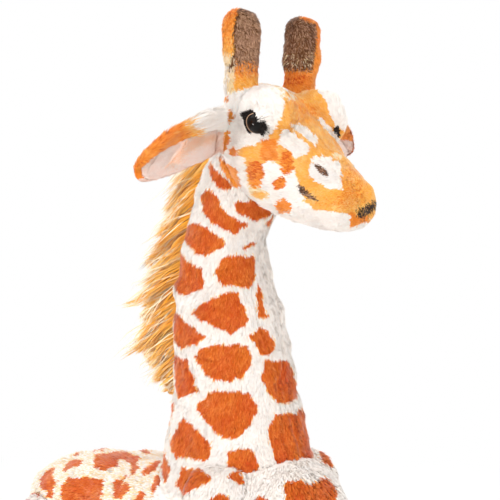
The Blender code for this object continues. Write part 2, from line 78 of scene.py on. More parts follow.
class Tone(Enum):
    """The dyes of the pile, in their order along the palette."""

    CREAM = 0
    RUST = 1
    AMBER = 2
    ORANGE = 3
    BROWN = 4
    BLACK = 5
    PINK = 6
    GOLD = 7
    STRAW = 8
    PEACH = 9
    UMBER = 10


@dataclass(frozen=True)
class Dye:
    """One dye as it looks at a hair's root, where it is darkened as painted shade among the hairs, along the
    hair and at its tip.
    """

    # The root colour is painted shade: the dye as it looks in the shadow among the hairs.
    root_shade: str
    full: str
    pale: str


DYES = {
    Tone.CREAM: Dye("#F7E6D8", "#FFF6EE", "#FFFBF7"),
    Tone.RUST: Dye("#A83A08", "#DA5E16", "#EE8038"),
    Tone.AMBER: Dye("#E88E22", "#FFB44A", "#FFCE84"),
    Tone.ORANGE: Dye("#D06412", "#F78F2E", "#FFAE58"),
    Tone.BROWN: Dye("#5E3A26", "#976E54", "#CFA283"),
    Tone.BLACK: Dye("#0E0A09", "#231B19", "#4A3E3A"),
    Tone.PINK: Dye("#F6BFA8", "#FFDBCA", "#FFEDE4"),
    Tone.GOLD: Dye("#DA8A1A", "#F7A42C", "#FCC468"),
    Tone.STRAW: Dye("#EDBE78", "#FBDDA8", "#FFF0D6"),
    Tone.PEACH: Dye("#F0A074", "#FFC49E", "#FFDABE"),
    Tone.UMBER: Dye("#33200F", "#603A22", "#8A5A36"),
}


def linear(code: str) -> tuple[float, float, float, float]:
    """Turn a hex colour into linear light.

    Args:
        code: the colour as #RRGGBB.

    Returns:
        Red, green, blue and an alpha of 1.
    """
    parts = [int(code[place:place + 2], 16) / 255 for place in (1, 3, 5)]
    light = [part / 12.92 if part <= 0.04045 else ((part + 0.055) / 1.055) ** 2.4 for part in parts]
    return (light[0], light[1], light[2], 1.0)


def unit(rows: np.ndarray) -> np.ndarray:
    """Scale each row to length 1."""
    return rows / np.maximum(np.linalg.norm(rows, axis=-1, keepdims=True), 1e-9)


def across(rows: np.ndarray, normals: np.ndarray) -> np.ndarray:
    """Lay each row flat on the surface that its normal stands on."""
    return unit(rows - normals * (rows * normals).sum(1, keepdims=True))


def ease(value: np.ndarray, low: float, high: float) -> np.ndarray:
    """Rise smoothly from 0 at low to 1 at high."""
    share = np.clip((value - low) / (high - low), 0, 1)
    return share * share * (3 - 2 * share)


class Waves:
    """Smooth seeded noise: a sum of sine waves that run in random directions."""

    def __init__(self, seed: int, scale: float, count: int = 14) -> None:
        """Draw the waves.

        Args:
            seed: the seed of the draw.
            scale: the middle wavelength, in metres.
            count: how many waves are summed.
        """
        rng = np.random.default_rng(seed)
        ways = unit(rng.normal(size=(count, 3)))
        self.ways = ways * (math.tau / (scale * rng.uniform(0.6, 1.6, (count, 1))))
        self.phases = rng.uniform(0, math.tau, count)
        self.gain = math.sqrt(2 / count)

    def __call__(self, points: np.ndarray) -> np.ndarray:
        """Return the noise at each point, mostly between -2 and 2."""
        return np.sin(points @ self.ways.T + self.phases).sum(1) * self.gain


def wave_rows(points: np.ndarray, seed: int, count: int, scale: float) -> np.ndarray:
    """Return several fields of smooth noise at each point, one a column."""
    return np.stack([Waves(seed + step, scale)(points) for step in range(count)], 1)


@dataclass(frozen=True)
class Viewpoint:
    """The photograph's camera, found from the landmarks of the head and the neck."""

    azimuth_deg: float = 46.0
    elevation_deg: float = 2.0
    distance: float = 1.25
    target: tuple[float, float, float] = (0.111, 0.0, 0.56)
    half_frame_share: float = 0.2
    sensor_mm: float = 36.0

    @property
    def back(self) -> np.ndarray:
        """The direction from the target to the camera."""
        azimuth, elevation = math.radians(self.azimuth_deg), math.radians(self.elevation_deg)
        flat = math.cos(elevation)
        return np.array((math.sin(azimuth) * flat, -math.cos(azimuth) * flat, math.sin(elevation)))

    @property
    def right(self) -> np.ndarray:
        """The direction to the right of the picture."""
        azimuth = math.radians(self.azimuth_deg)
        return np.array((math.cos(azimuth), math.sin(azimuth), 0.0))

    @property
    def place(self) -> np.ndarray:
        """Where the camera stands."""
        return np.array(self.target) + self.back * self.distance

    def pixels(self, points: np.ndarray) -> np.ndarray:
        """Project points of space into the picture.

        Args:
            points: one point a row, in metres.

        Returns:
            Pixel coordinates, one pair a row.
        """
        focal = FRAME_PIXELS / 2 / self.half_frame_share
        offset = points - np.array(self.target)
        depth = self.distance - offset @ self.back
        upper = np.cross(self.back, self.right)
        right = FRAME_PIXELS / 2 + focal * (offset @ self.right) / depth
        down = FRAME_PIXELS / 2 - focal * (offset @ upper) / depth
        return np.stack([right, down], 1)

    def facing(self, points: np.ndarray, normals: np.ndarray) -> np.ndarray:
        """Return how squarely each place faces the camera, from -1 to 1."""
        return (unit(self.place - points) * normals).sum(1)

    def make(self) -> bpy.types.Object:
        """Make the camera and put it in the scene."""
        data = bpy.data.cameras.new("photo_camera")
        data.sensor_width = self.sensor_mm
        data.lens = self.sensor_mm / 2 / self.half_frame_share
        data.clip_start = 0.05
        camera = bpy.data.objects.new("photo_camera", data)
        camera.location = self.place
        camera.rotation_mode = "QUATERNION"
        camera.rotation_quaternion = Vector(-self.back).to_track_quat("-Z", "Y")
        bpy.context.scene.collection.objects.link(camera)
        bpy.context.scene.camera = camera
        return camera


VIEW = Viewpoint()


class Sum:
    """Wraps a shader socket, so that maths on it adds Math nodes."""

    def __init__(self, tree: "Tree", socket: bpy.types.NodeSocket) -> None:
        """Keep the socket and the tree it belongs to."""
        self.tree = tree
        self.socket = socket

    def _with(self, operation: str, *values: "Sum | float") -> "Sum":
        """Add a Math node.

        Args:
            operation: the node's operation.
            values: its inputs, as sums or numbers.

        Returns:
            The node's output as a sum.
        """
        sockets = {place: value for place, value in enumerate(values)}
        return Sum(self.tree, self.tree.node("ShaderNodeMath", sockets, operation=operation).outputs[0])

    def __add__(self, other: "Sum | float") -> "Sum":
        """Add."""
        return self._with("ADD", self, other)

    __radd__ = __add__

    def __sub__(self, other: "Sum | float") -> "Sum":
        """Take away."""
        return self._with("SUBTRACT", self, other)

    def __rsub__(self, other: float) -> "Sum":
        """Take this away from a number."""
        return self._with("SUBTRACT", other, self)

    def __mul__(self, other: "Sum | float") -> "Sum":
        """Multiply."""
        return self._with("MULTIPLY", self, other)

    __rmul__ = __mul__

    def above(self, low: float, high: float) -> "Sum":
        """Rise smoothly from 0 at low to 1 at high."""
        settings = {"interpolation_type": "SMOOTHSTEP"}
        sockets = {"Value": self, "From Min": low, "From Max": high}
        return Sum(self.tree, self.tree.node("ShaderNodeMapRange", sockets, **settings).outputs[0])

    def fraction(self) -> "Sum":
        """Return what is left past the whole number."""
        return self._with("FRACT", self)


class Tree:
    """Builds the node tree of a material or of the world."""

    def __init__(self, owner: bpy.types.Material | bpy.types.World) -> None:
        """Switch on the nodes of a material or world, and keep them."""
        owner.use_nodes = True
        self.owner = owner
        self.nodes = owner.node_tree.nodes
        self.links = owner.node_tree.links

    @property
    def shader(self) -> bpy.types.Node:
        """The Principled shader."""
        return self.nodes["Principled BSDF"]

    def node(self, kind: str, sockets: dict | None = None, stops: list | None = None,
             **settings: object) -> bpy.types.Node:
        """Add a node.

        Args:
            kind: the node's type.
            sockets: the values or links of its inputs, by name or place.
            stops: places and colours of a ramp.
            settings: the node's own settings, which are set first.

        Returns:
            The node.
        """
        made = self.nodes.new(kind)
        for key, value in settings.items():
            setattr(made, key, value)
        if stops:
            ramp = made.color_ramp
            ramp.interpolation = "CONSTANT"
            for place, colour in stops[1:-1]:
                ramp.elements.new(place).color = colour
            ramp.elements[0].color = stops[0][1]
            ramp.elements[-1].position = stops[-1][0]
            ramp.elements[-1].color = stops[-1][1]
        for key, value in (sockets or {}).items():
            self.feed(made.inputs[key], value)
        return made

    def feed(self, socket: bpy.types.NodeSocket, value: object) -> None:
        """Link a socket to another one, or set its value."""
        if isinstance(value, Sum):
            value = value.socket
        if isinstance(value, bpy.types.NodeSocket):
            self.links.new(value, socket)
        else:
            socket.default_value = value

    def mix(self, factor: "Sum | float", first: object, second: object) -> bpy.types.NodeSocket:
        """Mix two colours.

        Args:
            factor: the share of the second colour.
            first: the first colour or its socket.
            second: the second colour or its socket.

        Returns:
            The mixed colour's socket.
        """
        sockets = {0: factor, 6: first, 7: second}
        return self.node("ShaderNodeMix", sockets, data_type="RGBA").outputs[2]

    def noise(self, scale: float, detail: float = 3.0) -> "Sum":
        """Return noise on the object's own coordinates, from 0 to 1."""
        place = self.node("ShaderNodeTexCoord").outputs["Object"]
        sockets = {"Vector": place, "Scale": scale, "Detail": detail}
        return Sum(self, self.node("ShaderNodeTexNoise", sockets).outputs[0])

    def seen(self) -> "Sum":
        """Return 1 for rays from the camera, off a gloss or through glass, and 0 for all others."""
        path = self.node("ShaderNodeLightPath").outputs
        camera, glossy, through = (Sum(self, path[f"Is {kind} Ray"])
                                   for kind in ("Camera", "Glossy", "Transmission"))
        return camera + glossy + through

    def show(self, output: str, first: bpy.types.Node, second: bpy.types.Node, share: "Sum") -> None:
        """Feed an output node's surface with a share of the second of two shaders."""
        sockets = {0: share, 1: first.outputs[0], 2: second.outputs[0]}
        blend = self.node("ShaderNodeMixShader", sockets)
        self.feed(self.nodes[output].inputs["Surface"], blend.outputs[0])

    def finish(self, base: object, **numbers: float) -> bpy.types.Material:
        """Feed the shader's base colour and set its constant sockets.

        Args:
            base: the base colour or its socket.
            numbers: constants by socket name, with _ for spaces.

        Returns:
            The material.
        """
        self.feed(self.shader.inputs["Base Color"], base)
        for name, value in numbers.items():
            self.shader.inputs[name.replace("_", " ")].default_value = value
        return self.owner


@dataclass(frozen=True)
class PileFinish:
    """Dyed hair: a palette read at each hair's own place, from root to tip, darker towards the root as
    painted shade.
    """

    name: str
    slot: str
    roughness: float = 0.82
    sheen: float = 0.35
    hue_spread: float = 0.024
    value_spread: float = 0.22

    def material(self) -> bpy.types.Material:
        """Build the material."""
        tree = Tree(bpy.data.materials.new(self.name))
        tint = tree.node("ShaderNodeAttribute", attribute_name="tint")
        parts = tree.node("ShaderNodeSeparateXYZ", {0: tint.outputs["Vector"]})
        place, along = Sum(tree, parts.outputs[0]), Sum(tree, parts.outputs[1])
        looks = []
        for look in ("root_shade", "full", "pale"):
            stops = [(tone.value / len(Tone), linear(getattr(DYES[tone], look))) for tone in Tone]
            looks.append(tree.node("ShaderNodeValToRGB", {0: place}, stops=stops).outputs[0])
        # Low lightness blends towards the root colour, which is painted shade.
        colour = tree.mix(along.above(0.0, 0.5), looks[0], looks[1])
        colour = tree.mix(along.above(0.5, 1.0), colour, looks[2])
        drift = (place * float(len(Tone))).fraction() - 0.5
        sockets = {"Hue": drift * self.hue_spread + 0.5, "Value": drift * self.value_spread + 1.0,
                   "Color": colour}
        varied = tree.node("ShaderNodeHueSaturation", sockets).outputs[0]
        return tree.finish(varied, Roughness=self.roughness, Sheen_Weight=self.sheen,
                           Sheen_Roughness=0.4, Specular_IOR_Level=0.25)


@dataclass(frozen=True)
class MouldedFinish:
    """Moulded plastic whose colour and gloss drift between two states, as swirls or wear do."""

    name: str
    slot: str
    colour: str
    worn: str
    scale: float
    drift: tuple[float, float]
    roughness: float
    rougher: float
    detail: float = 3.0
    specular: float = 0.5
    coat: float = 0.0

    def material(self) -> bpy.types.Material:
        """Build the material."""
        tree = Tree(bpy.data.materials.new(self.name))
        cloud = tree.noise(self.scale, self.detail)
        base = tree.mix(cloud.above(*self.drift), linear(self.colour), linear(self.worn))
        tree.feed(tree.shader.inputs["Roughness"], cloud * self.rougher + self.roughness)
        return tree.finish(base, Specular_IOR_Level=self.specular, Coat_Weight=self.coat)


@dataclass(frozen=True)
class FloorFinish:
    """Plain pale floor that shows as it is written and keeps the object's shadow."""

    name: str = "studio_floor"
    colour: str = "#F4F2EF"
    near: float = 0.6
    far: float = 1.7

    def material(self) -> bpy.types.Material:
        """Build the material."""
        tree = Tree(bpy.data.materials.new(self.name))
        grain = tree.noise(3.0, 2.0)
        base = tree.mix(grain * 0.04, linear(self.colour), WHITE)
        material = tree.finish(base, Roughness=0.9, Specular_IOR_Level=0.1)
        place = tree.node("ShaderNodeTexCoord").outputs["Object"]
        away = tree.node("ShaderNodeVectorMath", {0: place}, operation="LENGTH").outputs["Value"]
        white = tree.node("ShaderNodeEmission", {"Color": WHITE, "Strength": 1.0})
        tree.show("Material Output", tree.shader, white,
                  tree.seen() * Sum(tree, away).above(self.near, self.far))
        return material


COAT_PILE = PileFinish("coat_pile", "patch_coat")
FACE_PILE = PileFinish("face_pile", "face_coat")
HORN_PILE = PileFinish("horn_pile", "horn_plush", sheen=0.25)
LINING_PILE = PileFinish("lining_pile", "ear_pile", roughness=0.75, sheen=0.3, hue_spread=0.01,
                         value_spread=0.08)
FELT_PILE = PileFinish("felt_pile", "black_felt", sheen=0.1)
HAIR_PILE = PileFinish("hair_pile", "golden_hair", roughness=0.55, sheen=0.2)
HOOF_PILE = PileFinish("hoof_pile", "hoof_plush", sheen=0.2)
EYE_BLACK = MouldedFinish("eye_black", "eye_gloss", "#0B0807", "#2A1A12", 220.0, (0.45, 0.8),
                          0.02, 0.03, detail=4.0, specular=0.15)
RING_TAN = MouldedFinish("eye_ring_tan", "eye_gloss", "#C9956B", "#E3BE9B", 900.0, (0.4, 0.7),
                         0.2, 0.2, coat=0.4)
WASHER_PALE = MouldedFinish("washer_plastic", "washer_plastic", "#E2E1DC", "#CFCEC8", 700.0, (0.45, 0.7),
                            0.3, 0.3)
Finish = PileFinish | MouldedFinish
MATERIALS: dict[str, bpy.types.Material] = {}


def dress(piece: bpy.types.Object, finish: Finish | FloorFinish) -> None:
    """Give a piece its finish, made once for all the pieces that share it."""
    if finish.name not in MATERIALS:
        MATERIALS[finish.name] = finish.material()
    piece.data.materials.clear()
    piece.data.materials.append(MATERIALS[finish.name])


def place_piece(mesh: bpy.types.Mesh, body: str, finish: Finish, replaced: tuple[str, ...] = ()) -> None:
    """Put a finished mesh in the scene as a piece of its name that rides on a body.

    Args:
        mesh: the mesh, in the row's frame.
        body: the body that it rides on.
        finish: its finish.
        replaced: the CAD nodes that it stands for.
    """
    piece = bpy.data.objects.new(mesh.name, mesh)
    bpy.context.scene.collection.objects.link(piece)
    dress(piece, finish)
    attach(piece, body)
    if replaced:
        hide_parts(*replaced)
    LOG.info("%s: %d faces", mesh.name, len(mesh.polygons))


def set_tint(mesh: bpy.types.Mesh, domain: str, tint: np.ndarray, corners: np.ndarray) -> None:
    """Store a mesh's palette places and its bake map.

    Args:
        mesh: the mesh.
        domain: POINT or FACE.
        tint: palette place and shade of each point or face.
        corners: the bake map's place of each face corner.
    """
    layer = mesh.attributes.new("tint", "FLOAT_VECTOR", domain)
    values = np.zeros((len(tint), 3), np.float32)
    values[:, :2] = tint
    layer.data.foreach_set("vector", values.ravel())
    chart = mesh.uv_layers.new(name="OFBake")
    chart.uv.foreach_set("vector", np.clip(corners, 0.001, 0.999).astype(np.float32).ravel())


def tone_place(tones: np.ndarray, drift: np.ndarray) -> np.ndarray:
    """Return the palette place of each tone, moved within its band by a drift of -1 to 1."""
    return (tones + 0.5 + np.clip(drift, -1, 1) * BAND_SHARE) / len(Tone)


@dataclass
class Skin:
    """The cloth of one stuffed piece, as an even mesh in numbers."""

    mesh: bpy.types.Mesh
    points: np.ndarray
    normals: np.ndarray
    centres: np.ndarray
    face_normals: np.ndarray
    areas: np.ndarray
    corners: np.ndarray
    bare: np.ndarray

    @staticmethod
    def cut(node: str, cell: float, rounds: int, beside: tuple[str, ...], sink: float,
            swell: Nap | None = None, part: str = "cloth") -> "Skin":
        """Make the cloth from a copy of a CAD solid.

        Args:
            node: the CAD node.
            cell: the size of the mesh's faces.
            rounds: how often the surface is smoothed.
            beside: the nodes it is sewn to, where no pile grows.
            sink: how far the cloth lies below the pile's outer surface.
            swell: returns how far each point moves out along its normal.
            part: what the piece's name says after the node's.

        Returns:
            The skin.
        """
        source = frame["nodes"][node].data.copy()
        bm = bmesh.new()
        bm.from_mesh(source)
        bmesh.ops.remove_doubles(bm, verts=bm.verts[:], dist=0.01 * MM)
        bm.to_mesh(source)
        bm.free()
        work = bpy.data.objects.new("work", source)
        bpy.context.scene.collection.objects.link(work)
        even = work.modifiers.new("Even", "REMESH")
        even.mode = "VOXEL"
        even.voxel_size = cell
        smooth = work.modifiers.new("Smooth", "SMOOTH")
        smooth.factor = 0.5
        smooth.iterations = rounds
        depsgraph = bpy.context.evaluated_depsgraph_get()
        mesh = bpy.data.meshes.new_from_object(work.evaluated_get(depsgraph))
        mesh.name = f"{node}_{part}"
        bpy.data.objects.remove(work)
        skin = Skin.read(mesh)
        near = nearness(skin.points, beside)
        move = -sink * ease(near, *SINK_BAND)
        if swell is not None:
            move = move + swell(skin.points, skin.normals) * ease(near, *SWELL_BAND)
        moved = skin.points + skin.normals * move[:, None]
        mesh.vertices.foreach_set("co", moved.astype(np.float32).ravel())
        mesh.update()
        skin = Skin.read(mesh)
        skin.bare = nearness(skin.centres, beside) < BARE_REACH
        return skin

    @staticmethod
    def read(mesh: bpy.types.Mesh) -> "Skin":
        """Read a mesh of quads into arrays."""
        bm = bmesh.new()
        bm.from_mesh(mesh)
        odd = [face for face in bm.faces if len(face.verts) != 4]
        if odd:
            bmesh.ops.triangulate(bm, faces=odd)
        bm.to_mesh(mesh)
        bm.free()
        mesh.shade_smooth()

        def rows(items: object, name: str, width: int, kind: type = np.float32) -> np.ndarray:
            """Read one property of many items."""
            values = np.zeros(len(items) * width, kind)
            items.foreach_get(name, values)
            return values.reshape(-1, width) if width > 1 else values

        starts = rows(mesh.polygons, "loop_start", 1, np.int32)
        totals = rows(mesh.polygons, "loop_total", 1, np.int32)
        loops = rows(mesh.loops, "vertex_index", 1, np.int32)
        places = starts[:, None] + np.minimum(np.arange(4), totals[:, None] - 1)
        return Skin(mesh, rows(mesh.vertices, "co", 3).astype(float),
                    rows(mesh.vertex_normals, "vector", 3).astype(float),
                    rows(mesh.polygons, "center", 3).astype(float),
                    rows(mesh.polygons, "normal", 3).astype(float),
                    rows(mesh.polygons, "area", 1).astype(float),
                    loops[places], np.zeros(len(starts), bool))

    def roots(self, density: Field | float, rng: np.random.Generator) -> tuple[np.ndarray, np.ndarray]:
        """Draw the places where hairs are rooted.

        Args:
            density: hairs on a square metre, or a field that gives it at face centres.
            rng: the random draw.

        Returns:
            Places and normals.
        """
        rate = density(self.centres) if callable(density) else density
        wanted = self.areas * rate * ~self.bare
        count = np.floor(wanted + rng.random(len(wanted))).astype(int)
        face = np.repeat(np.arange(len(count)), count)
        across_share, up_share = rng.random((2, len(face), 1))
        square = self.corners[face]

        def spread(values: np.ndarray) -> np.ndarray:
            """Blend the four corners of each hair's face."""
            low = values[square[:, 0]] * (1 - across_share) + values[square[:, 1]] * across_share
            high = values[square[:, 3]] * (1 - across_share) + values[square[:, 2]] * across_share
            return low * (1 - up_share) + high * up_share

        return spread(self.points), unit(spread(self.normals))

    def tint(self, tones: np.ndarray, shade: float = 0.48) -> None:
        """Colour the cloth under the pile, face by face."""
        spots = np.stack([tone_place(tones, np.zeros(len(tones))), np.full(len(tones), shade)], 1)
        total = np.zeros(len(self.mesh.polygons), np.int32)
        self.mesh.polygons.foreach_get("loop_total", total)
        turn = np.concatenate([np.arange(count) for count in total]) * (math.tau / 4)
        ring = np.stack([np.cos(turn), np.sin(turn)], 1) * (2 * CHART_STEP)
        set_tint(self.mesh, "FACE", spots, np.repeat(spots, total, axis=0) + ring)

    def wear(self, tones: Pattern, seed: int, body: str, finish: Finish, node: str,
             fill: float | None = None, shade: float = 0.48) -> None:
        """Dye the cloth and place it as the piece that stands for a CAD node.

        Args:
            tones: the pattern of its dyes.
            seed: the seed of the pattern's random draw.
            body: the body that it rides on.
            finish: its finish.
            node: the CAD node.
            fill: how full the piece is stuffed; not used.
            shade: how light the cloth is, from 0 to 1.
        """
        self.tint(tones(self.centres, self.face_normals, np.random.default_rng(seed)), shade)
        place_piece(self.mesh, body, finish, (node,))


def solid_tree(node: str) -> BVHTree:
    """Return the search tree of a CAD solid's faces."""
    data = frame["nodes"][node].data
    return BVHTree.FromPolygons([vertex.co for vertex in data.vertices],
                                [tuple(face.vertices) for face in data.polygons])


def nearness(points: np.ndarray, nodes: tuple[str, ...], far: float = 0.03) -> np.ndarray:
    """Return how near each point lies to the nearest of some CAD solids.

    Args:
        points: the points.
        nodes: the CAD nodes.
        far: the distance given where none is nearer.

    Returns:
        The distances.
    """
    result = np.full(len(points), far)
    for node in nodes:
        tree = solid_tree(node)
        low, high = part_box(node)
        reach = np.array(low) - far, np.array(high) + far
        close = np.flatnonzero(((points > reach[0]) & (points < reach[1])).all(1))
        for index in close:
            found = tree.find_nearest(Vector(points[index]), far)
            if found[3] is not None and found[3] < result[index]:
                result[index] = found[3]
    return result


@dataclass
class Pile:
    """Short hair on a skin, combed one way."""

    length: float
    width: float
    density: float
    nap: Nap
    lift_deg: float = 38.0
    droop_deg: float = 8.0
    tousle: float = 0.14
    length_spread: float = 0.16
    shade: float = 0.62
    grain: float = 0.09
    seed: int = 1

    def grow(self, skin: Skin, tones: Pattern, name: str, body: str, finish: Finish,
             keep: Field | None = None, trim: Field | None = None) -> None:
        """Grow the pile as a piece of pointed blades.

        Args:
            skin: the cloth it grows on.
            tones: the pattern of its dyes.
            name: the piece's name.
            body: the body that it rides on.
            finish: its finish.
            keep: returns which places may carry hair.
            trim: returns the share of the full length at each place.
        """
        rng = np.random.default_rng(self.seed)
        places, normals = skin.roots(self.density, rng)
        if keep is not None:
            kept = keep(places)
            places, normals = places[kept], normals[kept]
        count = len(places)
        swirl = [Waves(self.seed * 10 + step, scale)(places) for step, scale
                 in enumerate((30 * MM, 30 * MM, 9 * MM, 9 * MM))]
        lay = across(self.nap(places, normals), normals)
        side = np.cross(lay, normals)
        turn = (swirl[0] * 0.22 + swirl[2] * 0.30 + rng.normal(0, 1, count) * 0.32) * self.tousle / 0.35
        lay = lay * np.cos(turn)[:, None] + side * np.sin(turn)[:, None]
        lean = 1 + swirl[1] * 0.10 + swirl[3] * 0.09 + rng.normal(0, 0.16, count)
        turned_away = 1 - ease(VIEW.facing(places, normals), -0.30, 0.24)
        lean = lean * (1 - 0.6 * turned_away)
        rise = np.radians(np.clip(self.lift_deg * lean, 9, 85))[:, None]
        fall = np.radians(np.clip(self.droop_deg * lean, 0, 60))[:, None]
        size = self.length * np.clip(1 + rng.normal(0, self.length_spread, count), 0.4, 1.6)
        if trim is not None:
            size = size * trim(places)
        size = size[:, None]
        tone = tones(places + lay * size * 0.45, normals, rng)
        start = lay * np.cos(rise) + normals * np.sin(rise)
        end = lay * np.cos(fall) + normals * np.sin(fall)
        middle = places + start * size * 0.48
        tip = middle + end * size * 0.52
        flat = unit(np.cross(start, normals))
        edge = 0.25 + 0.75 * ease(VIEW.facing(places, normals), 0.05, 0.50)
        roll = (rng.uniform(-0.7, 0.7, count) * edge)[:, None]
        blade = flat * np.cos(roll) + np.cross(start, flat) * np.sin(roll)
        blade = blade * (self.width / 2 * rng.uniform(0.7, 1.3, count))[:, None]
        corners = np.stack([places - normals * 0.5 * MM, middle + blade, tip, middle - blade], 1)
        turned = np.cross(corners[:, 1] - corners[:, 0], corners[:, 2] - corners[:, 0])
        wrong = (turned * normals).sum(1) < 0
        corners[wrong] = corners[wrong][:, ::-1][:, [3, 0, 1, 2]]
        bend = lay * (0.06 + 0.05 * swirl[3][:, None]) + side * (0.06 * swirl[2][:, None])
        seen = unit(normals + bend + rng.normal(0, 0.10, (count, 3)))
        drift = rng.normal(0, 0.35, count) + swirl[1] * 0.25
        light = self.shade + swirl[3] * 0.05 + swirl[0] * 0.04 + rng.normal(0, self.grain, count)
        place_piece(blades(name, corners, seen, tone_place(tone, drift), light), body, finish)

    def grow_halves(self, skin: Skin, tones: Pattern, name: str, finish: Finish, trim: Field) -> None:
        """Grow the pile as a right and a left piece on the body, which keeps each mesh small."""
        for side, way in (("right", -1), ("left", 1)):
            self.grow(skin, tones, f"{name}_pile_{side}", "body", finish,
                      keep=lambda spots: spots[:, 1] * way > 0, trim=trim)


def blades(name: str, corners: np.ndarray, normals: np.ndarray, place: np.ndarray,
           light: np.ndarray) -> bpy.types.Mesh:
    """Build a mesh of four-cornered blades.

    Args:
        name: the mesh's name.
        corners: each blade's root, one side, tip and other side.
        normals: the normal that each blade is lit by.
        place: each blade's place in the palette.
        light: how light each blade's middle is, from 0 to 1.

    Returns:
        The mesh.
    """
    count = len(corners)
    mesh = bpy.data.meshes.new(name)
    mesh.vertices.add(count * 4)
    mesh.vertices.foreach_set("co", corners.astype(np.float32).ravel())
    mesh.loops.add(count * 4)
    mesh.loops.foreach_set("vertex_index", np.arange(count * 4, dtype=np.int32))
    mesh.polygons.add(count)
    mesh.polygons.foreach_set("loop_start", np.arange(0, count * 4, 4, dtype=np.int32))
    mesh.update()
    light = np.clip(light, 0.08, 0.9)
    # Each blade is painted darker at its root, as shade among the hairs, and lighter at its tip.
    steps = np.stack([light * 0.3, light, np.clip(light + 0.16, 0, 1), light], 1)
    shift = np.array((0, 1, 0, -1)) * CHART_STEP
    tint = np.stack([place[:, None] + shift, steps], 2).reshape(-1, 2)
    set_tint(mesh, "POINT", tint, tint)
    mesh.shade_smooth()
    mesh.normals_split_custom_set_from_vertices(np.repeat(normals, 4, axis=0))
    return mesh


def ribbons(name: str, left: np.ndarray, right: np.ndarray, normals: np.ndarray, place: np.ndarray,
            light: np.ndarray) -> bpy.types.Mesh:
    """Build a mesh of long hairs, each a narrow strip of quads.

    Args:
        name: the mesh's name.
        left: the points of each hair's left edge.
        right: the points of each hair's right edge.
        normals: the normals that each hair is lit by, at each point of it.
        place: each hair's place in the palette.
        light: how light each hair is at each point of it, from 0 to 1.

    Returns:
        The mesh.
    """
    count, steps = left.shape[:2]
    middle = steps // 2
    turned = np.cross(left[:, middle] - left[:, middle - 1], right[:, middle] - left[:, middle])
    wrong = ((turned * normals[:, middle]).sum(1) < 0)[:, None, None]
    left, right = np.where(wrong, right, left), np.where(wrong, left, right)
    mesh = bpy.data.meshes.new(name)
    mesh.vertices.add(count * steps * 2)
    points = np.stack([left, right], 2)
    mesh.vertices.foreach_set("co", points.astype(np.float32).ravel())
    first = (np.arange(count)[:, None] * steps + np.arange(steps - 1)) * 2
    quads = np.stack([first, first + 2, first + 3, first + 1], 2).reshape(-1, 4)
    mesh.loops.add(quads.size)
    mesh.loops.foreach_set("vertex_index", quads.astype(np.int32).ravel())
    mesh.polygons.add(len(quads))
    mesh.polygons.foreach_set("loop_start", np.arange(0, quads.size, 4, dtype=np.int32))
    mesh.update()
    shift = np.array((-1, 1)) * CHART_STEP
    spots = np.broadcast_to(place[:, None, None] + shift, (count, steps, 2))
    shades = np.broadcast_to(np.clip(light, 0.02, 0.98)[:, :, None], (count, steps, 2))
    tint = np.stack([spots, shades], 3).reshape(-1, 2)
    set_tint(mesh, "POINT", tint, tint[quads.ravel()])
    mesh.shade_smooth()
    mesh.normals_split_custom_set_from_vertices(np.repeat(normals.reshape(-1, 3), 2, axis=0))
    return mesh


@dataclass
class Locks:
    """Long hair that leaves its roots one way and hangs another, in clumps."""

    length: float
    width: float
    segments: int
    clump: float
    gather: float = 0.55
    curl: float = 0.30
    length_spread: float = 0.20
    light_root: float = 0.16
    light_tip: float = 0.80
    tilt: float = 0.45
    herd: int = 26
    seed: int = 1

    def comb(self, name: str, roots: np.ndarray, normals: np.ndarray, start: np.ndarray, end: np.ndarray,
             tones: np.ndarray | int, body: str, finish: Finish, share_of_length: float | np.ndarray = 1.0,
             ) -> None:
        """Comb the locks out as a piece.

        Args:
            name: the piece's name.
            roots: where the hairs grow.
            normals: the surface's normals there.
            start: the direction in which each hair leaves.
            end: the direction in which each hair ends.
            tones: each hair's tone, or one for all.
            body: the body that it rides on.
            finish: its finish.
            share_of_length: the share of the full length that each hair has.
        """
        rng = np.random.default_rng(self.seed)
        count = len(roots)
        sway = wave_rows(roots, self.seed * 20, 6, self.clump * 2.2)
        lead = rng.integers(0, count, max(1, count // self.herd))
        chief = np.zeros(count, int)
        for low in range(0, count, 2000):
            part = roots[low:low + 2000]
            gap = ((part[:, None] - roots[lead][None]) ** 2).sum(2)
            chief[low:low + 2000] = lead[gap.argmin(1)]
        size = self.length * np.clip(1 + sway[:, 0] * 0.12 + rng.normal(0, self.length_spread, count),
                                     0.35, 1.55) * share_of_length
        path = [roots - normals * MM]
        for step in range(self.segments):
            share = (step + 0.5) / self.segments
            turn = share ** 0.8
            way = start * (1 - turn) + end * turn
            way = way + sway[:, 3:6] * self.curl * (0.25 + share) * 0.5
            way = way + rng.normal(0, 0.07 + 0.10 * share, (count, 3))
            path.append(path[-1] + unit(way) * (size / self.segments)[:, None])
        path = np.stack(path, 1)
        share = np.linspace(0, 1, self.segments + 1)
        pull = (self.gather * share ** 1.3)[None, :, None]
        path = path + (path[chief] - path) * pull
        along = unit(np.gradient(path, axis=1))
        tilt = unit(normals[:, None] + rng.normal(0, self.tilt, (count, 1, 3)))
        side = unit(np.cross(along, np.broadcast_to(tilt, along.shape)))
        taper = self.width / 2 * (0.35 + 0.9 * np.sin(np.pi * (0.12 + 0.80 * share)))
        taper[-1] = self.width * 0.06
        half = side * taper[None, :, None] * rng.uniform(0.7, 1.3, (count, 1, 1))
        face = np.cross(side, along)
        face = face * np.sign((face * normals[:, None]).sum(2, keepdims=True) + 1e-6)
        seen = unit(face * self.tilt * 2 + normals[:, None] * 0.9 + rng.normal(0, 0.12, (count, 1, 3)))
        # Each hair is painted darker at its root, as shade among the hairs, and lightens towards its tip.
        light = self.light_root + (self.light_tip - self.light_root) * share ** 0.7
        light = light[None] + (sway[:, 1:2] * 0.07 + rng.normal(0, 0.09, (count, 1)))
        drift = sway[:, 2] * 0.3 + rng.normal(0, 0.4, count)
        mesh = ribbons(name, path - half, path + half, seen, tone_place(tones, drift), light)
        place_piece(mesh, body, finish)


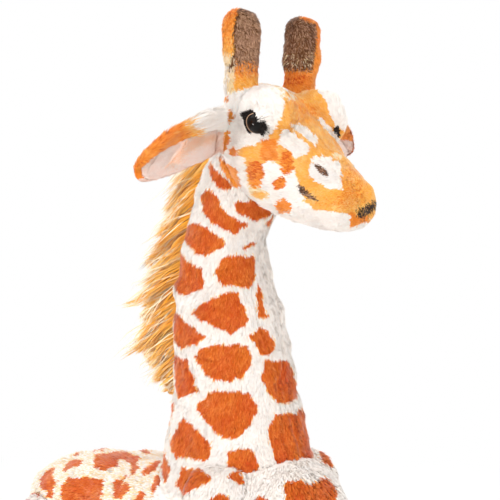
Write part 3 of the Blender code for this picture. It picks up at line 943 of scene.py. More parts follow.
def inside(outline: Outline, pixels: np.ndarray) -> np.ndarray:
    """Tell which pixels lie inside a closed outline."""
    corners = np.array(outline, float)
    low, high = corners.min(0), corners.max(0)
    result = np.zeros(len(pixels), bool)
    near = np.flatnonzero(((pixels >= low) & (pixels <= high)).all(1))
    x, y = pixels[near].T
    odd = np.zeros(len(near), bool)
    for (x1, y1), (x2, y2) in zip(corners, np.roll(corners, -1, axis=0)):
        if y1 == y2:
            continue
        crosses = (y1 > y) != (y2 > y)
        odd ^= crosses & (x < (x2 - x1) * (y - y1) / (y2 - y1) + x1)
    result[near] = odd
    return result


def fuzzy(outline: Outline, pixels: np.ndarray, spread: float, rng: np.random.Generator) -> np.ndarray:
    """Tell which pixels lie inside a closed outline whose edge is blurred by a random spread."""
    return inside(outline, pixels + rng.normal(0, spread, pixels.shape))


def dye(tones: np.ndarray, where: np.ndarray, tone: Tone, share: float | np.ndarray = 1.0,
        rng: np.random.Generator | None = None) -> None:
    """Give the chosen places a tone.

    Args:
        tones: the tones, which are changed.
        where: which places are chosen.
        tone: their new tone.
        share: the share of them that takes it, if there is a random draw.
        rng: the random draw.
    """
    if rng is not None:
        where = where & (rng.random(len(tones)) < share)
    tones[where] = tone.value


def line_distance(line: Outline, pixels: np.ndarray) -> np.ndarray:
    """Return how far each pixel lies from an open line."""
    best = np.full(len(pixels), 99.0)
    for start, stop in zip(np.array(line, float), np.array(line[1:], float)):
        way = stop - start
        share = np.clip(((pixels - start) @ way) / (way @ way), 0, 1)[:, None]
        best = np.minimum(best, np.linalg.norm(pixels - start - way * share, axis=1))
    return best


@dataclass(frozen=True)
class Cells:
    """Patches of a giraffe's coat where the photograph shows none, as cells of a jittered grid."""

    spacing: float
    gap: float
    seed: int

    def __call__(self, points: np.ndarray) -> np.ndarray:
        """Tell which points lie in a patch, and not on the pale net between the patches."""
        table = np.random.default_rng(self.seed).uniform(0.12, 0.88, (16, 16, 16, 3))
        spot = points + wave_rows(points, self.seed + 1, 3, 0.03) * 1.2 * MM
        home = np.floor(spot / self.spacing).astype(int)
        steps = [np.array((x, y, z)) for x in (-1, 0, 1) for y in (-1, 0, 1) for z in (-1, 0, 1)]

        def middle(step: np.ndarray) -> np.ndarray:
            """Return the middle of the neighbouring cell in one direction."""
            cell = home + step
            index = cell % 16
            return (cell + table[index[:, 0], index[:, 1], index[:, 2]]) * self.spacing

        near = np.full(len(points), 9.0)
        owner = np.zeros((len(points), 3))
        for step in steps:
            centre = middle(step)
            gap = ((spot - centre) ** 2).sum(1)
            closer = gap < near
            near[closer] = gap[closer]
            owner[closer] = centre[closer]
        edge = np.full(len(points), 9.0)
        for step in steps:
            centre = middle(step)
            apart = np.linalg.norm(centre - owner, axis=1)
            other = apart > 1e-6
            far = ((spot - centre) ** 2).sum(1) - near
            edge[other] = np.minimum(edge[other], far[other] / (2 * apart[other]))
        return edge > self.gap / 2


NECK_MARKS: tuple[Outline, ...] = (
    ((212, 162), (215, 167), (222, 173), (228, 180), (234, 188), (221, 189), (214, 180), (211, 168)),
    ((202, 196), (211, 189), (217, 195), (221, 205), (228, 214), (239, 220), (249, 224), (241, 228),
     (234, 233), (216, 224), (205, 214)),
    ((234, 202), (249, 200), (261, 203), (275, 207), (269, 214), (258, 219), (248, 217), (239, 213)),
    ((265, 220), (273, 214), (267, 227)),
    ((184, 227), (197, 223), (210, 229), (224, 239), (226, 246), (216, 250), (206, 257), (200, 255),
     (191, 246), (186, 238)),
    ((241, 246), (245, 245), (253, 241), (256, 243), (247, 248), (243, 251)),
    ((182, 251), (187, 259), (194, 265), (202, 268), (204, 278), (204, 288), (195, 292), (186, 296),
     (178, 291), (173, 281), (180, 276), (179, 260)),
    ((229, 256), (252, 256), (255, 267), (254, 280), (248, 288), (236, 286), (222, 285), (218, 277),
     (216, 269), (222, 261)),
    ((193, 313), (206, 302), (222, 294), (237, 292), (240, 301), (245, 309), (250, 321), (240, 328),
     (232, 334), (217, 327), (203, 320)),
    ((258, 283), (261, 291), (263, 302), (264, 314), (268, 317), (258, 317), (257, 305), (256, 294)),
    ((177, 312), (184, 320), (196, 328), (207, 337), (198, 344), (182, 348), (176, 341), (175, 321)),
    ((249, 337), (258, 328), (267, 331), (273, 341), (274, 349), (269, 355), (259, 353), (255, 345)),
    ((194, 357), (203, 349), (215, 345), (246, 345), (252, 356), (249, 366), (243, 377), (231, 381),
     (215, 380), (206, 374), (203, 365)),
    ((175, 354), (188, 359), (190, 370), (196, 376), (195, 385), (200, 391), (190, 394), (180, 399),
     (177, 385), (176, 370)),
    ((265, 359), (276, 362), (280, 359), (288, 363), (293, 377), (297, 389), (294, 399), (288, 403),
     (276, 403), (268, 392), (260, 381), (263, 370)),
    ((212, 391), (232, 391), (250, 392), (259, 407), (248, 428), (239, 438), (225, 439), (212, 427),
     (196, 407)),
    ((184, 418), (197, 429), (211, 443), (211, 454), (205, 462), (189, 457), (177, 457), (171, 443)),
    ((274, 415), (288, 413), (296, 414), (300, 407), (305, 421), (312, 446), (311, 467), (306, 471),
     (300, 466), (282, 469), (275, 460), (268, 436), (268, 427)),
    ((228, 451), (248, 448), (254, 452), (260, 472), (270, 480), (282, 489), (277, 492), (256, 482),
     (240, 471), (228, 468)),
    ((169, 405), (175, 403), (175, 409), (170, 425), (166, 433), (164, 433)),
    ((232, 472), (240, 472), (243, 482), (240, 485), (229, 479)),
    ((285, 483), (300, 482), (311, 486), (323, 478), (334, 488), (334, 506), (287, 506), (284, 490)),
    ((319, 448), (323, 442), (333, 452), (334, 462), (331, 468), (322, 463), (318, 454)),
    ((183, 468), (196, 469), (211, 477), (207, 484), (196, 489), (185, 495), (177, 485)),
    ((211, 500), (218, 494), (226, 496), (234, 503), (228, 514), (212, 512)),
    ((252, 503), (259, 497), (270, 500), (274, 510), (262, 518), (250, 512)),
    ((162, 450), (166, 452), (171, 470), (167, 483), (162, 467)),
)
NECK_SEAMS: tuple[Outline, ...] = (
    ((258, 243), (251, 294), (258, 324), (274, 366), (286, 399)),
    ((272, 345), (283, 352)),
    ((286, 380), (288, 400), (301, 456), (311, 487)),
)
RUMP_MARKS: tuple[Outline, ...] = (
    ((72, 459), (75, 455), (81, 454), (79, 456)),
    ((93, 453), (101, 449), (110, 447), (110, 449), (102, 452)),
    ((123, 446), (132, 446), (144, 451), (153, 456), (148, 456), (137, 451), (129, 449)),
    ((63, 473), (69, 465), (74, 461), (82, 461), (83, 466), (75, 468), (67, 472)),
    ((96, 457), (104, 456), (125, 453), (134, 457), (141, 459), (138, 465), (141, 470), (132, 477),
     (132, 465), (120, 460), (119, 467), (105, 472), (95, 468)),
    ((41, 485), (43, 477), (51, 471), (57, 468), (54, 472), (55, 481), (59, 483), (55, 490),
     (54, 498), (46, 499), (49, 494)),
    ((69, 480), (89, 478), (105, 481), (104, 489), (102, 504), (63, 504), (64, 489), (66, 483)),
    ((115, 484), (124, 479), (131, 477), (122, 485), (130, 485), (130, 491), (123, 499), (116, 499)),
    ((143, 477), (145, 471), (158, 462), (162, 463), (155, 472), (147, 477)),
    ((153, 488), (161, 471), (163, 476), (158, 491), (158, 503), (155, 503)),
    ((133, 504), (142, 493), (146, 494), (145, 504)),
)
CHEST_MARKS = NECK_MARKS[-7:]
JAW_SPOT: Outline = ((219, 156), (223, 158), (227, 164), (236, 166), (241, 175), (243, 187), (235, 187),
                     (228, 178), (223, 168))
EAR_SPOTS: tuple[Outline, ...] = (
    ((227, 110), (230, 109), (234, 112), (235, 119), (232, 124), (228, 125)),
    ((222, 132), (230, 131), (232, 138), (230, 146), (225, 153), (220, 148)),
)
HORN_SPOT: Outline = ((223, 97), (228, 96), (230, 99), (228, 102), (223, 102))
SIDE_SPOTS = (HORN_SPOT,) + EAR_SPOTS
FAR_LINING: Outline = ((334, 141), (345, 139), (351, 141), (352, 148), (350, 153), (346, 160), (334, 156))
EAR_ROOT: Outline = ((211, 131), (223, 132), (223, 152), (211, 157))
FACE_MARKS: tuple[tuple[Tone, Outline], ...] = (
    (Tone.AMBER, ((262, 60), (283, 84), (285, 103), (283, 115), (276, 128), (267, 138), (256, 145),
                  (245, 147), (239, 150), (240, 156), (247, 158), (247, 163), (250, 184), (258, 184),
                  (264, 180), (263, 165), (268, 161), (281, 164), (282, 172), (286, 166), (294, 170),
                  (297, 175), (300, 185), (305, 201), (316, 209), (330, 211), (349, 214), (352, 222),
                  (366, 222), (384, 214), (384, 176), (356, 128), (340, 60))),
    (Tone.CREAM, ((289, 124), (298, 124), (310, 131), (318, 142), (317, 148), (308, 142), (299, 135),
                  (292, 129))),
    (Tone.CREAM, ((283, 128), (288, 130), (297, 137), (306, 144), (310, 148), (309, 153), (300, 158),
                  (297, 160), (291, 153), (280, 145), (279, 140))),
    (Tone.CREAM, ((317, 119), (321, 118), (333, 130), (346, 147), (345, 151), (331, 137), (322, 127))),
    (Tone.CREAM, ((313, 157), (322, 156), (335, 160), (341, 166), (342, 190), (330, 189), (318, 184),
                  (311, 179), (309, 169), (312, 160))),
    (Tone.ORANGE, ((262, 138), (277, 138), (279, 161), (262, 160))),
    (Tone.ORANGE, ((230, 149), (235, 147), (240, 151), (238, 156), (231, 156))),
    (Tone.ORANGE, ((264, 142), (271, 140), (276, 145), (275, 155), (268, 159), (263, 154))),
    (Tone.RUST, ((251, 162), (259, 161), (265, 165), (266, 177), (260, 181), (252, 180), (249, 171))),
    (Tone.ORANGE, ((252, 180), (265, 178), (262, 187), (254, 187))),
    (Tone.RUST, ((283, 153), (288, 152), (293, 158), (294, 169), (290, 176), (283, 173), (281, 162))),
    (Tone.RUST, ((276, 178), (285, 177), (287, 182), (284, 189), (276, 189), (274, 183))),
    (Tone.STRAW, ((251, 186), (262, 187), (270, 191), (272, 197), (262, 198), (253, 195))),
    (Tone.AMBER, ((256, 191), (268, 191), (271, 196), (262, 197), (255, 195))),
    # A painted highlight: a pale STRAW strip along the muzzle's far contour.
    (Tone.STRAW, ((363, 160), (368, 163), (374, 173), (377, 186), (373, 184), (369, 173), (364, 166))),
    (Tone.STRAW, ((331, 154), (337, 154), (342, 158), (340, 160), (334, 158))),
    (Tone.ORANGE, ((350, 212), (358, 216), (368, 216), (368, 221), (350, 227), (349, 220))),
    (Tone.ORANGE, ((278, 200), (287, 198), (292, 204), (290, 211), (282, 213), (277, 207))),
    (Tone.ORANGE, JAW_SPOT),
)
HORN_MARKS: tuple[tuple[Tone, Outline], ...] = (
    (Tone.STRAW, ((215, 61), (233, 61), (231, 67), (215, 67))),
    (Tone.CREAM, ((215, 66), (232, 66), (230, 94), (244, 85), (256, 80), (266, 90), (262, 140), (205, 140))),
    (Tone.BROWN, ((241, 2), (258, 2), (270, 20), (270, 50), (270, 84), (228, 92), (232, 64), (234, 56),
                  (236, 51), (235, 44), (235, 30), (237, 18))),
    (Tone.UMBER, ((282, 30), (294, 14), (306, 22), (315, 25), (316, 36), (313, 60), (310, 74),
                  (296, 76), (280, 74), (280, 50))),
)
BETWEEN_HORNS = 272
HORN_EDGE = 235
HORN_SEAM: Outline = ((242, 9), (237, 20), (235, 29), (235, 44), (236, 51), (234, 56), (232, 65), (230, 73),
                      (227, 87))
# Lines at the horns' foot that are painted RUST as the shadow in their creases.
HORN_CREASE_SHADOWS: tuple[Outline, ...] = (
    ((280, 76), (287, 79), (296, 79), (306, 76)),
    ((284, 83), (294, 84), (303, 81)),
)
FOREHEAD: Outline = ((292, 103), (304, 100), (316, 106), (316, 118), (300, 117))
MUZZLE: Outline = ((342, 170), (354, 168), (364, 174), (366, 192), (358, 206), (340, 208), (318, 205),
                   (338, 196))
FAR_MOUND: Outline = ((316, 86), (322, 96), (328, 107), (332, 118), (334, 127), (345, 131), (365, 131),
                      (365, 78), (318, 78))
FAR_EYE: Outline = ((333, 127), (337, 126), (340, 131), (338, 136), (334, 133))
BROW: Outline = ((248, 84), (258, 76), (275, 74), (290, 86), (296, 100), (288, 103), (278, 92), (264, 85))
NOSE: Outline = ((356, 213), (361, 208), (368, 204), (378, 200), (380, 206), (372, 211), (366, 216),
                 (359, 217))
NOSTRIL: Outline = ((313, 164), (320, 166), (327, 171), (329, 178), (323, 176), (317, 170))
MOUTH: Outline = ((299, 184), (303, 186), (309, 191), (314, 196), (320, 202), (313, 200), (305, 196),
                  (299, 191))
# The lining's crease: a groove in the shape, and a line that is painted darker as shade.
LINING_CREASE: Outline = ((186, 141), (181, 151), (171, 162), (165, 168))
LINING_RIM: Outline = ((144, 174), (147, 164), (155, 154), (164, 143), (171, 138), (182, 135), (197, 132))
LINING_PEACH: Outline = ((187, 139), (182, 151), (172, 162), (164, 171), (176, 165), (189, 152), (204, 144),
                         (222, 141), (215, 134), (197, 134))


@dataclass
class Coat:
    """The pattern of the patched coat on the neck, the body and the legs."""

    marks: tuple[Outline, ...]
    cells: Cells
    rear_marks: tuple[Outline, ...] = ()
    front_x: float = -1.0
    rear_pixel: float = 170.0
    lowest_pixel: float = 507.0
    jitter: float = 0.35
    halo: float = 0.9
    wobble: float = 0.55
    straw_share: float = 0.45
    hidden: float = -0.10
    grazing: float = 0.03

    def known(self, points: np.ndarray, pixels: np.ndarray) -> np.ndarray:
        """Tell which places the photograph shows, before what hides them is thought of."""
        shown = (points[:, 0] > self.front_x) | (pixels[:, 0] < self.rear_pixel)
        return shown & (pixels[:, 1] < self.lowest_pixel)

    def read(self, points: np.ndarray, rng: np.random.Generator) -> tuple[np.ndarray, np.ndarray]:
        """Read the patches of the photograph at some places.

        Args:
            points: the places.
            rng: the random draw.

        Returns:
            The tones, and which of them are known.
        """
        pixels = VIEW.pixels(points)
        bend = wave_rows(points, 71, 2, 9 * MM) * self.wobble
        tones = np.full(len(points), Tone.CREAM.value)
        front = points[:, 0] > self.front_x
        for spread, tone in ((self.halo, Tone.AMBER), (self.jitter, Tone.RUST)):
            query = pixels + bend + rng.normal(0, spread, pixels.shape)
            for marks, shown in ((self.marks, front), (self.rear_marks, ~front)):
                for outline in marks:
                    dye(tones, inside(outline, query) & shown, tone)
        dye(tones, fuzzy(JAW_SPOT, pixels + bend, self.jitter, rng), Tone.ORANGE)
        dye(tones, ~front & (tones == Tone.CREAM.value), Tone.STRAW, self.straw_share, rng)
        return tones, self.known(points, pixels)

    def __call__(self, points: np.ndarray, normals: np.ndarray, rng: np.random.Generator) -> np.ndarray:
        """Return the tone of each place of the coat."""
        direct = VIEW.facing(points, normals)
        mirrored = VIEW.facing(points * MIRROR, normals * MIRROR)
        grown = np.where(self.cells(points + rng.normal(0, 0.6 * MM, points.shape)),
                         Tone.RUST.value, Tone.CREAM.value)
        left, left_known = self.read(points * MIRROR, rng)
        right, right_known = self.read(points, rng)
        right_known &= direct > self.hidden
        left_known &= (mirrored > self.hidden) & ~right_known
        tones = np.where(left_known, np.where(mirrored > self.grazing, left, Tone.CREAM.value), grown)
        return np.where(right_known, np.where(direct > self.grazing, right, Tone.CREAM.value), tones)


NECK_COAT = Coat(NECK_MARKS, Cells(0.047, 10 * MM, 5))


@dataclass
class FaceCoat:
    """The markings of the head, read on the near side and mirrored where the far side is hidden."""

    cells: Cells
    back_x: float = 0.119
    jitter: float = 0.5
    wobble: float = 0.7

    def __call__(self, points: np.ndarray, normals: np.ndarray, rng: np.random.Generator) -> np.ndarray:
        """Return the tone of each place of the head."""
        flip = np.ones_like(points)
        direct, mirrored = VIEW.facing(points, normals), VIEW.facing(points * MIRROR, normals * MIRROR)
        flip[:, 1] = np.where((mirrored > direct + 0.02) & (points[:, 1] > 3 * MM) & (direct < 0.04), -1, 1)
        near = points * flip
        facing = np.where(flip[:, 1] < 0, mirrored, direct)
        pixels = VIEW.pixels(near)
        bend = wave_rows(near, 81, 2, 6 * MM) * self.wobble
        query = pixels + bend + rng.normal(0, self.jitter, pixels.shape)
        tones = np.full(len(points), Tone.CREAM.value)
        for tone, outline in FACE_MARKS:
            dye(tones, inside(outline, query), tone)
        brow = inside(BROW, query)
        streak = Waves(83, 7 * MM)(near) + rng.normal(0, 0.5, len(points))
        dye(tones, brow & (streak < 0.5), Tone.STRAW)
        dye(tones, brow & (streak < -0.9), Tone.CREAM)
        dark = rng.choice([Tone.BLACK.value, Tone.UMBER.value, Tone.BROWN.value], len(points))
        for stroke in (NOSTRIL, MOUTH):
            tones = np.where(fuzzy(stroke, pixels, 0.65, rng), dark, tones)
        for tone, spread, share in ((Tone.UMBER, 1.9, 0.5), (Tone.BLACK, 0.9, 0.8)):
            dye(tones, fuzzy(NOSE, pixels, spread, rng), tone, share, rng)
        dye(tones, tones == Tone.RUST.value, Tone.ORANGE, 0.5, rng)
        for spot, share in ((FOREHEAD, 0.6), (MUZZLE, 0.45)):
            glow = fuzzy(spot, pixels, 3.5, rng) & (tones == Tone.AMBER.value)
            dye(tones, glow, Tone.ORANGE, share, rng)
        far = (points[:, 1] > 0) & (direct > 0)
        straight = VIEW.pixels(points) + bend
        dye(tones, far & inside(FAR_MOUND, straight), Tone.CREAM)
        dye(tones, far & inside(FAR_EYE, straight), Tone.BLACK)
        crown = (normals[:, 2] > 0.55) & (np.abs(points[:, 1]) < 0.034)
        dye(tones, crown & (facing < 0.02), Tone.AMBER)
        back = (points[:, 0] < self.back_x) & (facing < 0.12)
        grown = np.where(self.cells(points), Tone.RUST.value, Tone.CREAM.value)
        tones[back] = grown[back]
        for outline in SIDE_SPOTS:
            dye(tones, inside(outline, query) & (facing > -0.15), Tone.ORANGE)
        return tones


def horn_tones(points: np.ndarray, normals: np.ndarray, rng: np.random.Generator) -> np.ndarray:
    """Return the tone of each place of a horn: brown in front, orange behind and at the foot, with painted
    shadow in RUST along the creases at its foot.
    """
    pixels = VIEW.pixels(points) + rng.normal(0, 0.8, (len(points), 2))
    right, down = pixels.T
    tones = np.full(len(points), Tone.ORANGE.value)
    for tone, outline in HORN_MARKS:
        dye(tones, inside(outline, pixels), tone)
    brown = (tones == Tone.BROWN.value) | (tones == Tone.UMBER.value)
    chance = rng.random(len(points))
    near = right < BETWEEN_HORNS
    dye(tones, brown & near & (chance > 0.86), Tone.UMBER)
    dye(tones, brown & ~near & (chance > 0.60), Tone.BROWN)
    dye(tones, brown & ~near & (chance > 0.95) & (down > 52), Tone.STRAW)
    dye(tones, brown, Tone.ORANGE, np.where(near, ease(down, 57, 76), ease(down, 68, 74)), rng)
    orange = near & (tones == Tone.ORANGE.value)
    dye(tones, orange & (right >= HORN_EDGE), Tone.AMBER, ease(down, 66, 86), rng)
    dye(tones, orange & (right < HORN_EDGE), Tone.AMBER, ease(down, 30, 52), rng)
    dye(tones, orange & (right < HORN_EDGE), Tone.STRAW, ease(down, 50, 60), rng)
    dye(tones, (tones == Tone.CREAM.value) & (down < 84), Tone.STRAW, 0.5, rng)
    dye(tones, (line_distance(HORN_SEAM, pixels) < 1.0) & (down < 68), Tone.UMBER)
    for outline in SIDE_SPOTS:
        dye(tones, inside(outline, pixels), Tone.ORANGE)
    # Painted shadow: the creases at the horn's foot are drawn in RUST.
    for crease in HORN_CREASE_SHADOWS:
        dye(tones, line_distance(crease, pixels) < 0.8, Tone.RUST)
    behind = (VIEW.facing(points, normals) < -0.05) & (down < 66)
    tones[behind] = np.where(normals[behind, 0] > 0.2, Tone.BROWN.value, Tone.ORANGE.value)
    return tones


def plain(tone: Tone) -> Pattern:
    """Return a pattern of one tone."""
    return lambda points, normals, rng: np.full(len(points), tone.value)


def lumps(seed: int, height: float, scale: float = 0.045) -> Nap:
    """Return soft unevenness of the filling.

    Args:
        seed: the seed of the draw.
        height: how high the lumps are.
        scale: how wide they are.

    Returns:
        A function that gives the height at places and normals.
    """
    wide, fine = Waves(seed, scale), Waves(seed + 1, scale * 0.45)
    return lambda points, normals: (wide(points) * 0.6 + fine(points) * 0.3) * height


def combed(way: tuple[float, float, float] | np.ndarray) -> Nap:
    """Return a nap that runs one way."""
    return lambda points, normals: np.broadcast_to(np.array(way), points.shape)


@dataclass
class Trunk:
    """The torso, the neck and the four legs with their hooves."""

    pile_length: float = 6.0 * MM
    sink: float = 2.4 * MM

    def build(self) -> None:
        """Make and dress every piece of the trunk."""
        self.neck()
        self.torso()
        for end in ("front", "hind"):
            for side in ("right", "left"):
                self.leg(f"{end}_{side}", 30 + len(end) + len(side))

    def neck(self) -> None:
        """Make the neck."""
        beside = ("torso", "head", "mane", "leg_front_right", "leg_front_left")
        skin = Skin.cut("neck", 3 * MM, 4, beside, self.sink, neck_swell)
        skin.wear(NECK_COAT, 2, "body", COAT_PILE, "neck", 0.85)

        def nap(points: np.ndarray, normals: np.ndarray) -> np.ndarray:
            """Run down, a little back and towards the middle."""
            down, back = np.full(len(points), -1.0), np.full(len(points), -0.3)
            return np.stack([back, -0.15 * np.sign(points[:, 1]), down], 1)

        pile = Pile(self.pile_length * 0.9, 0.85 * MM, 1.65e6, nap, lift_deg=32, grain=0.13, seed=11)
        pile.grow_halves(skin, NECK_COAT, "neck", COAT_PILE, seam_trim)

    def torso(self) -> None:
        """Make the torso."""
        coat = Coat(CHEST_MARKS, Cells(0.054, 10 * MM, 9), RUMP_MARKS, front_x=0.04)
        beside = ("neck", "leg_front_right", "leg_front_left", "leg_hind_right", "leg_hind_left", "tail")
        skin = Skin.cut("torso", 4 * MM, 4, beside, self.sink, lumps(21, 2.0 * MM, 0.07))
        skin.wear(coat, 3, "body", COAT_PILE, "torso", 0.85)

        def nap(points: np.ndarray, normals: np.ndarray) -> np.ndarray:
            """Run down the chest and backwards along the body."""
            ahead = ease(points[:, 0], 0.06, 0.18)
            return np.stack([-1 + 0.7 * ahead, np.zeros(len(points)), -0.35 - ahead], 1)

        pile = Pile(self.pile_length * 1.1, 1.2 * MM, 0.85e6, nap, seed=12)
        pile.grow_halves(skin, coat, "torso", COAT_PILE, seam_trim)

    def leg(self, corner: str, seed: int) -> None:
        """Make one leg and its hoof.

        Args:
            corner: which leg, as its node's name says it.
            seed: the seed of its random draws.
        """
        leg, hoof = "leg_" + corner, "hoof_" + corner
        coat = Coat(CHEST_MARKS, Cells(0.036, 9 * MM, 40), front_x=0.04, rear_pixel=-99)
        skin = Skin.cut(leg, 3 * MM, 4, ("torso", "neck", hoof), self.sink * 0.7, lumps(seed, 1.4 * MM))
        skin.wear(coat, seed, "body", COAT_PILE, leg, 0.85)
        pile = Pile(self.pile_length * 0.9, 1.1 * MM, 0.90e6, combed((-0.1, 0, -1)), seed=seed)
        pile.grow(skin, coat, leg + "_pile", "body", COAT_PILE, trim=seam_trim)
        foot = Skin.cut(hoof, 2.5 * MM, 3, (leg,), 1.5 * MM, lumps(seed + 3, 0.6 * MM))
        foot.wear(plain(Tone.BROWN), seed, "body", HOOF_PILE, hoof, 0.9)
        pile = Pile(3.5 * MM, 0.9 * MM, 1.0e6, combed((0, 0, -1)), lift_deg=55, shade=0.5, seed=seed + 5)
        pile.grow(foot, plain(Tone.BROWN), hoof + "_pile", "body", HOOF_PILE,
                  keep=lambda spots: spots[:, 2] > 5 * MM)


def seam_gap(points: np.ndarray) -> np.ndarray:
    """Return how far each place of the neck lies from its sewn seams, in pixels."""
    gaps = []
    for flip in (1.0, MIRROR):
        gaps += [line_distance(seam, VIEW.pixels(points * flip)) for seam in NECK_SEAMS]
    ahead = points[:, 0] > 0.085
    return np.where(ahead, np.min(gaps, axis=0), 99.0)


def seam_trim(points: np.ndarray) -> np.ndarray:
    """Shorten the pile along the seams of the neck."""
    return 0.45 + 0.55 * ease(seam_gap(points), 0.3, 3.0)


def neck_swell(points: np.ndarray, normals: np.ndarray) -> np.ndarray:
    """Return the lumps of the neck, with a groove along each seam."""
    soft = lumps(25, 1.6 * MM)(points, normals)
    return soft - 1.8 * MM * (1 - ease(seam_gap(points), 0.0, 4.5))


@dataclass
class Head:
    """The head with its eye mounds, nostrils and mouth corners."""

    density: float = 2.6e6
    sink: float = 1.6 * MM
    pile_length: float = 4.4 * MM
    nose: tuple[float, float, float] = (0.275, 0.0, 0.622)

    def build(self) -> None:
        """Make and dress the head."""
        coat = FaceCoat(Cells(0.036, 8 * MM, 15))
        beside = ("neck", "horn_right", "horn_left", "ear_right", "ear_left", "eye_right", "eye_left")
        skin = Skin.cut("head", 2 * MM, 5, beside, self.sink, lumps(51, 0.8 * MM, 0.03))
        skin.wear(coat, 4, "body", FACE_PILE, "head", 0.9)
        eyes = [np.array(eye_frame(side).translation) for side in ("right", "left")]

        def away(points: np.ndarray) -> np.ndarray:
            """Return how far each place lies from the nearer eye."""
            return np.min([np.linalg.norm(points - eye, axis=1) for eye in eyes], axis=0)

        def nap(points: np.ndarray, normals: np.ndarray) -> np.ndarray:
            """Run back from the nose, and outwards round the eyes."""
            back = unit(points - np.array(self.nose))
            near = np.where(points[:, 1:2] < 0, eyes[0], eyes[1])
            out = unit(points - near)
            share = (1 - ease(away(points), 14 * MM, 26 * MM))[:, None]
            return back * (1 - share) + out * share

        def trim(points: np.ndarray) -> np.ndarray:
            """Shorten the pile by the eyes, the nose and the bridge, and lengthen it on the cheeks."""
            short = 0.55 + 0.45 * ease(away(points), 9 * MM, 20 * MM)
            muzzle = 1 - 0.40 * ease(points[:, 0], 0.20, 0.235)
            cheek = 1 + 0.45 * ease(0.655 - points[:, 2], 0.0, 0.03) * (1 - ease(points[:, 0], 0.17, 0.21))
            return short * muzzle * cheek

        pile = Pile(self.pile_length, 0.8 * MM, self.density, nap, lift_deg=34, droop_deg=7, seed=13)
        pile.grow_halves(skin, coat, "head", FACE_PILE, trim)


def eye_frame(side: str) -> Matrix:
    """Return the frame of an eye, with Z pointing out of the head, from the CAD eye's own dome."""
    way = 1 if side == "left" else -1
    forward, down = math.radians(15), math.radians(20)
    out = Vector((math.sin(forward) * math.cos(down), way * math.cos(forward) * math.cos(down),
                  -math.sin(down)))
    top = max((vertex.co for vertex in frame["nodes"]["eye_" + side].data.vertices),
              key=lambda place: place.dot(out))
    across_way = Vector((0, 0, 1)).cross(out).normalized()
    turn = Matrix([across_way, out.cross(across_way), out]).transposed().to_4x4()
    return Matrix.Translation(top - out * Eye.dome) @ turn


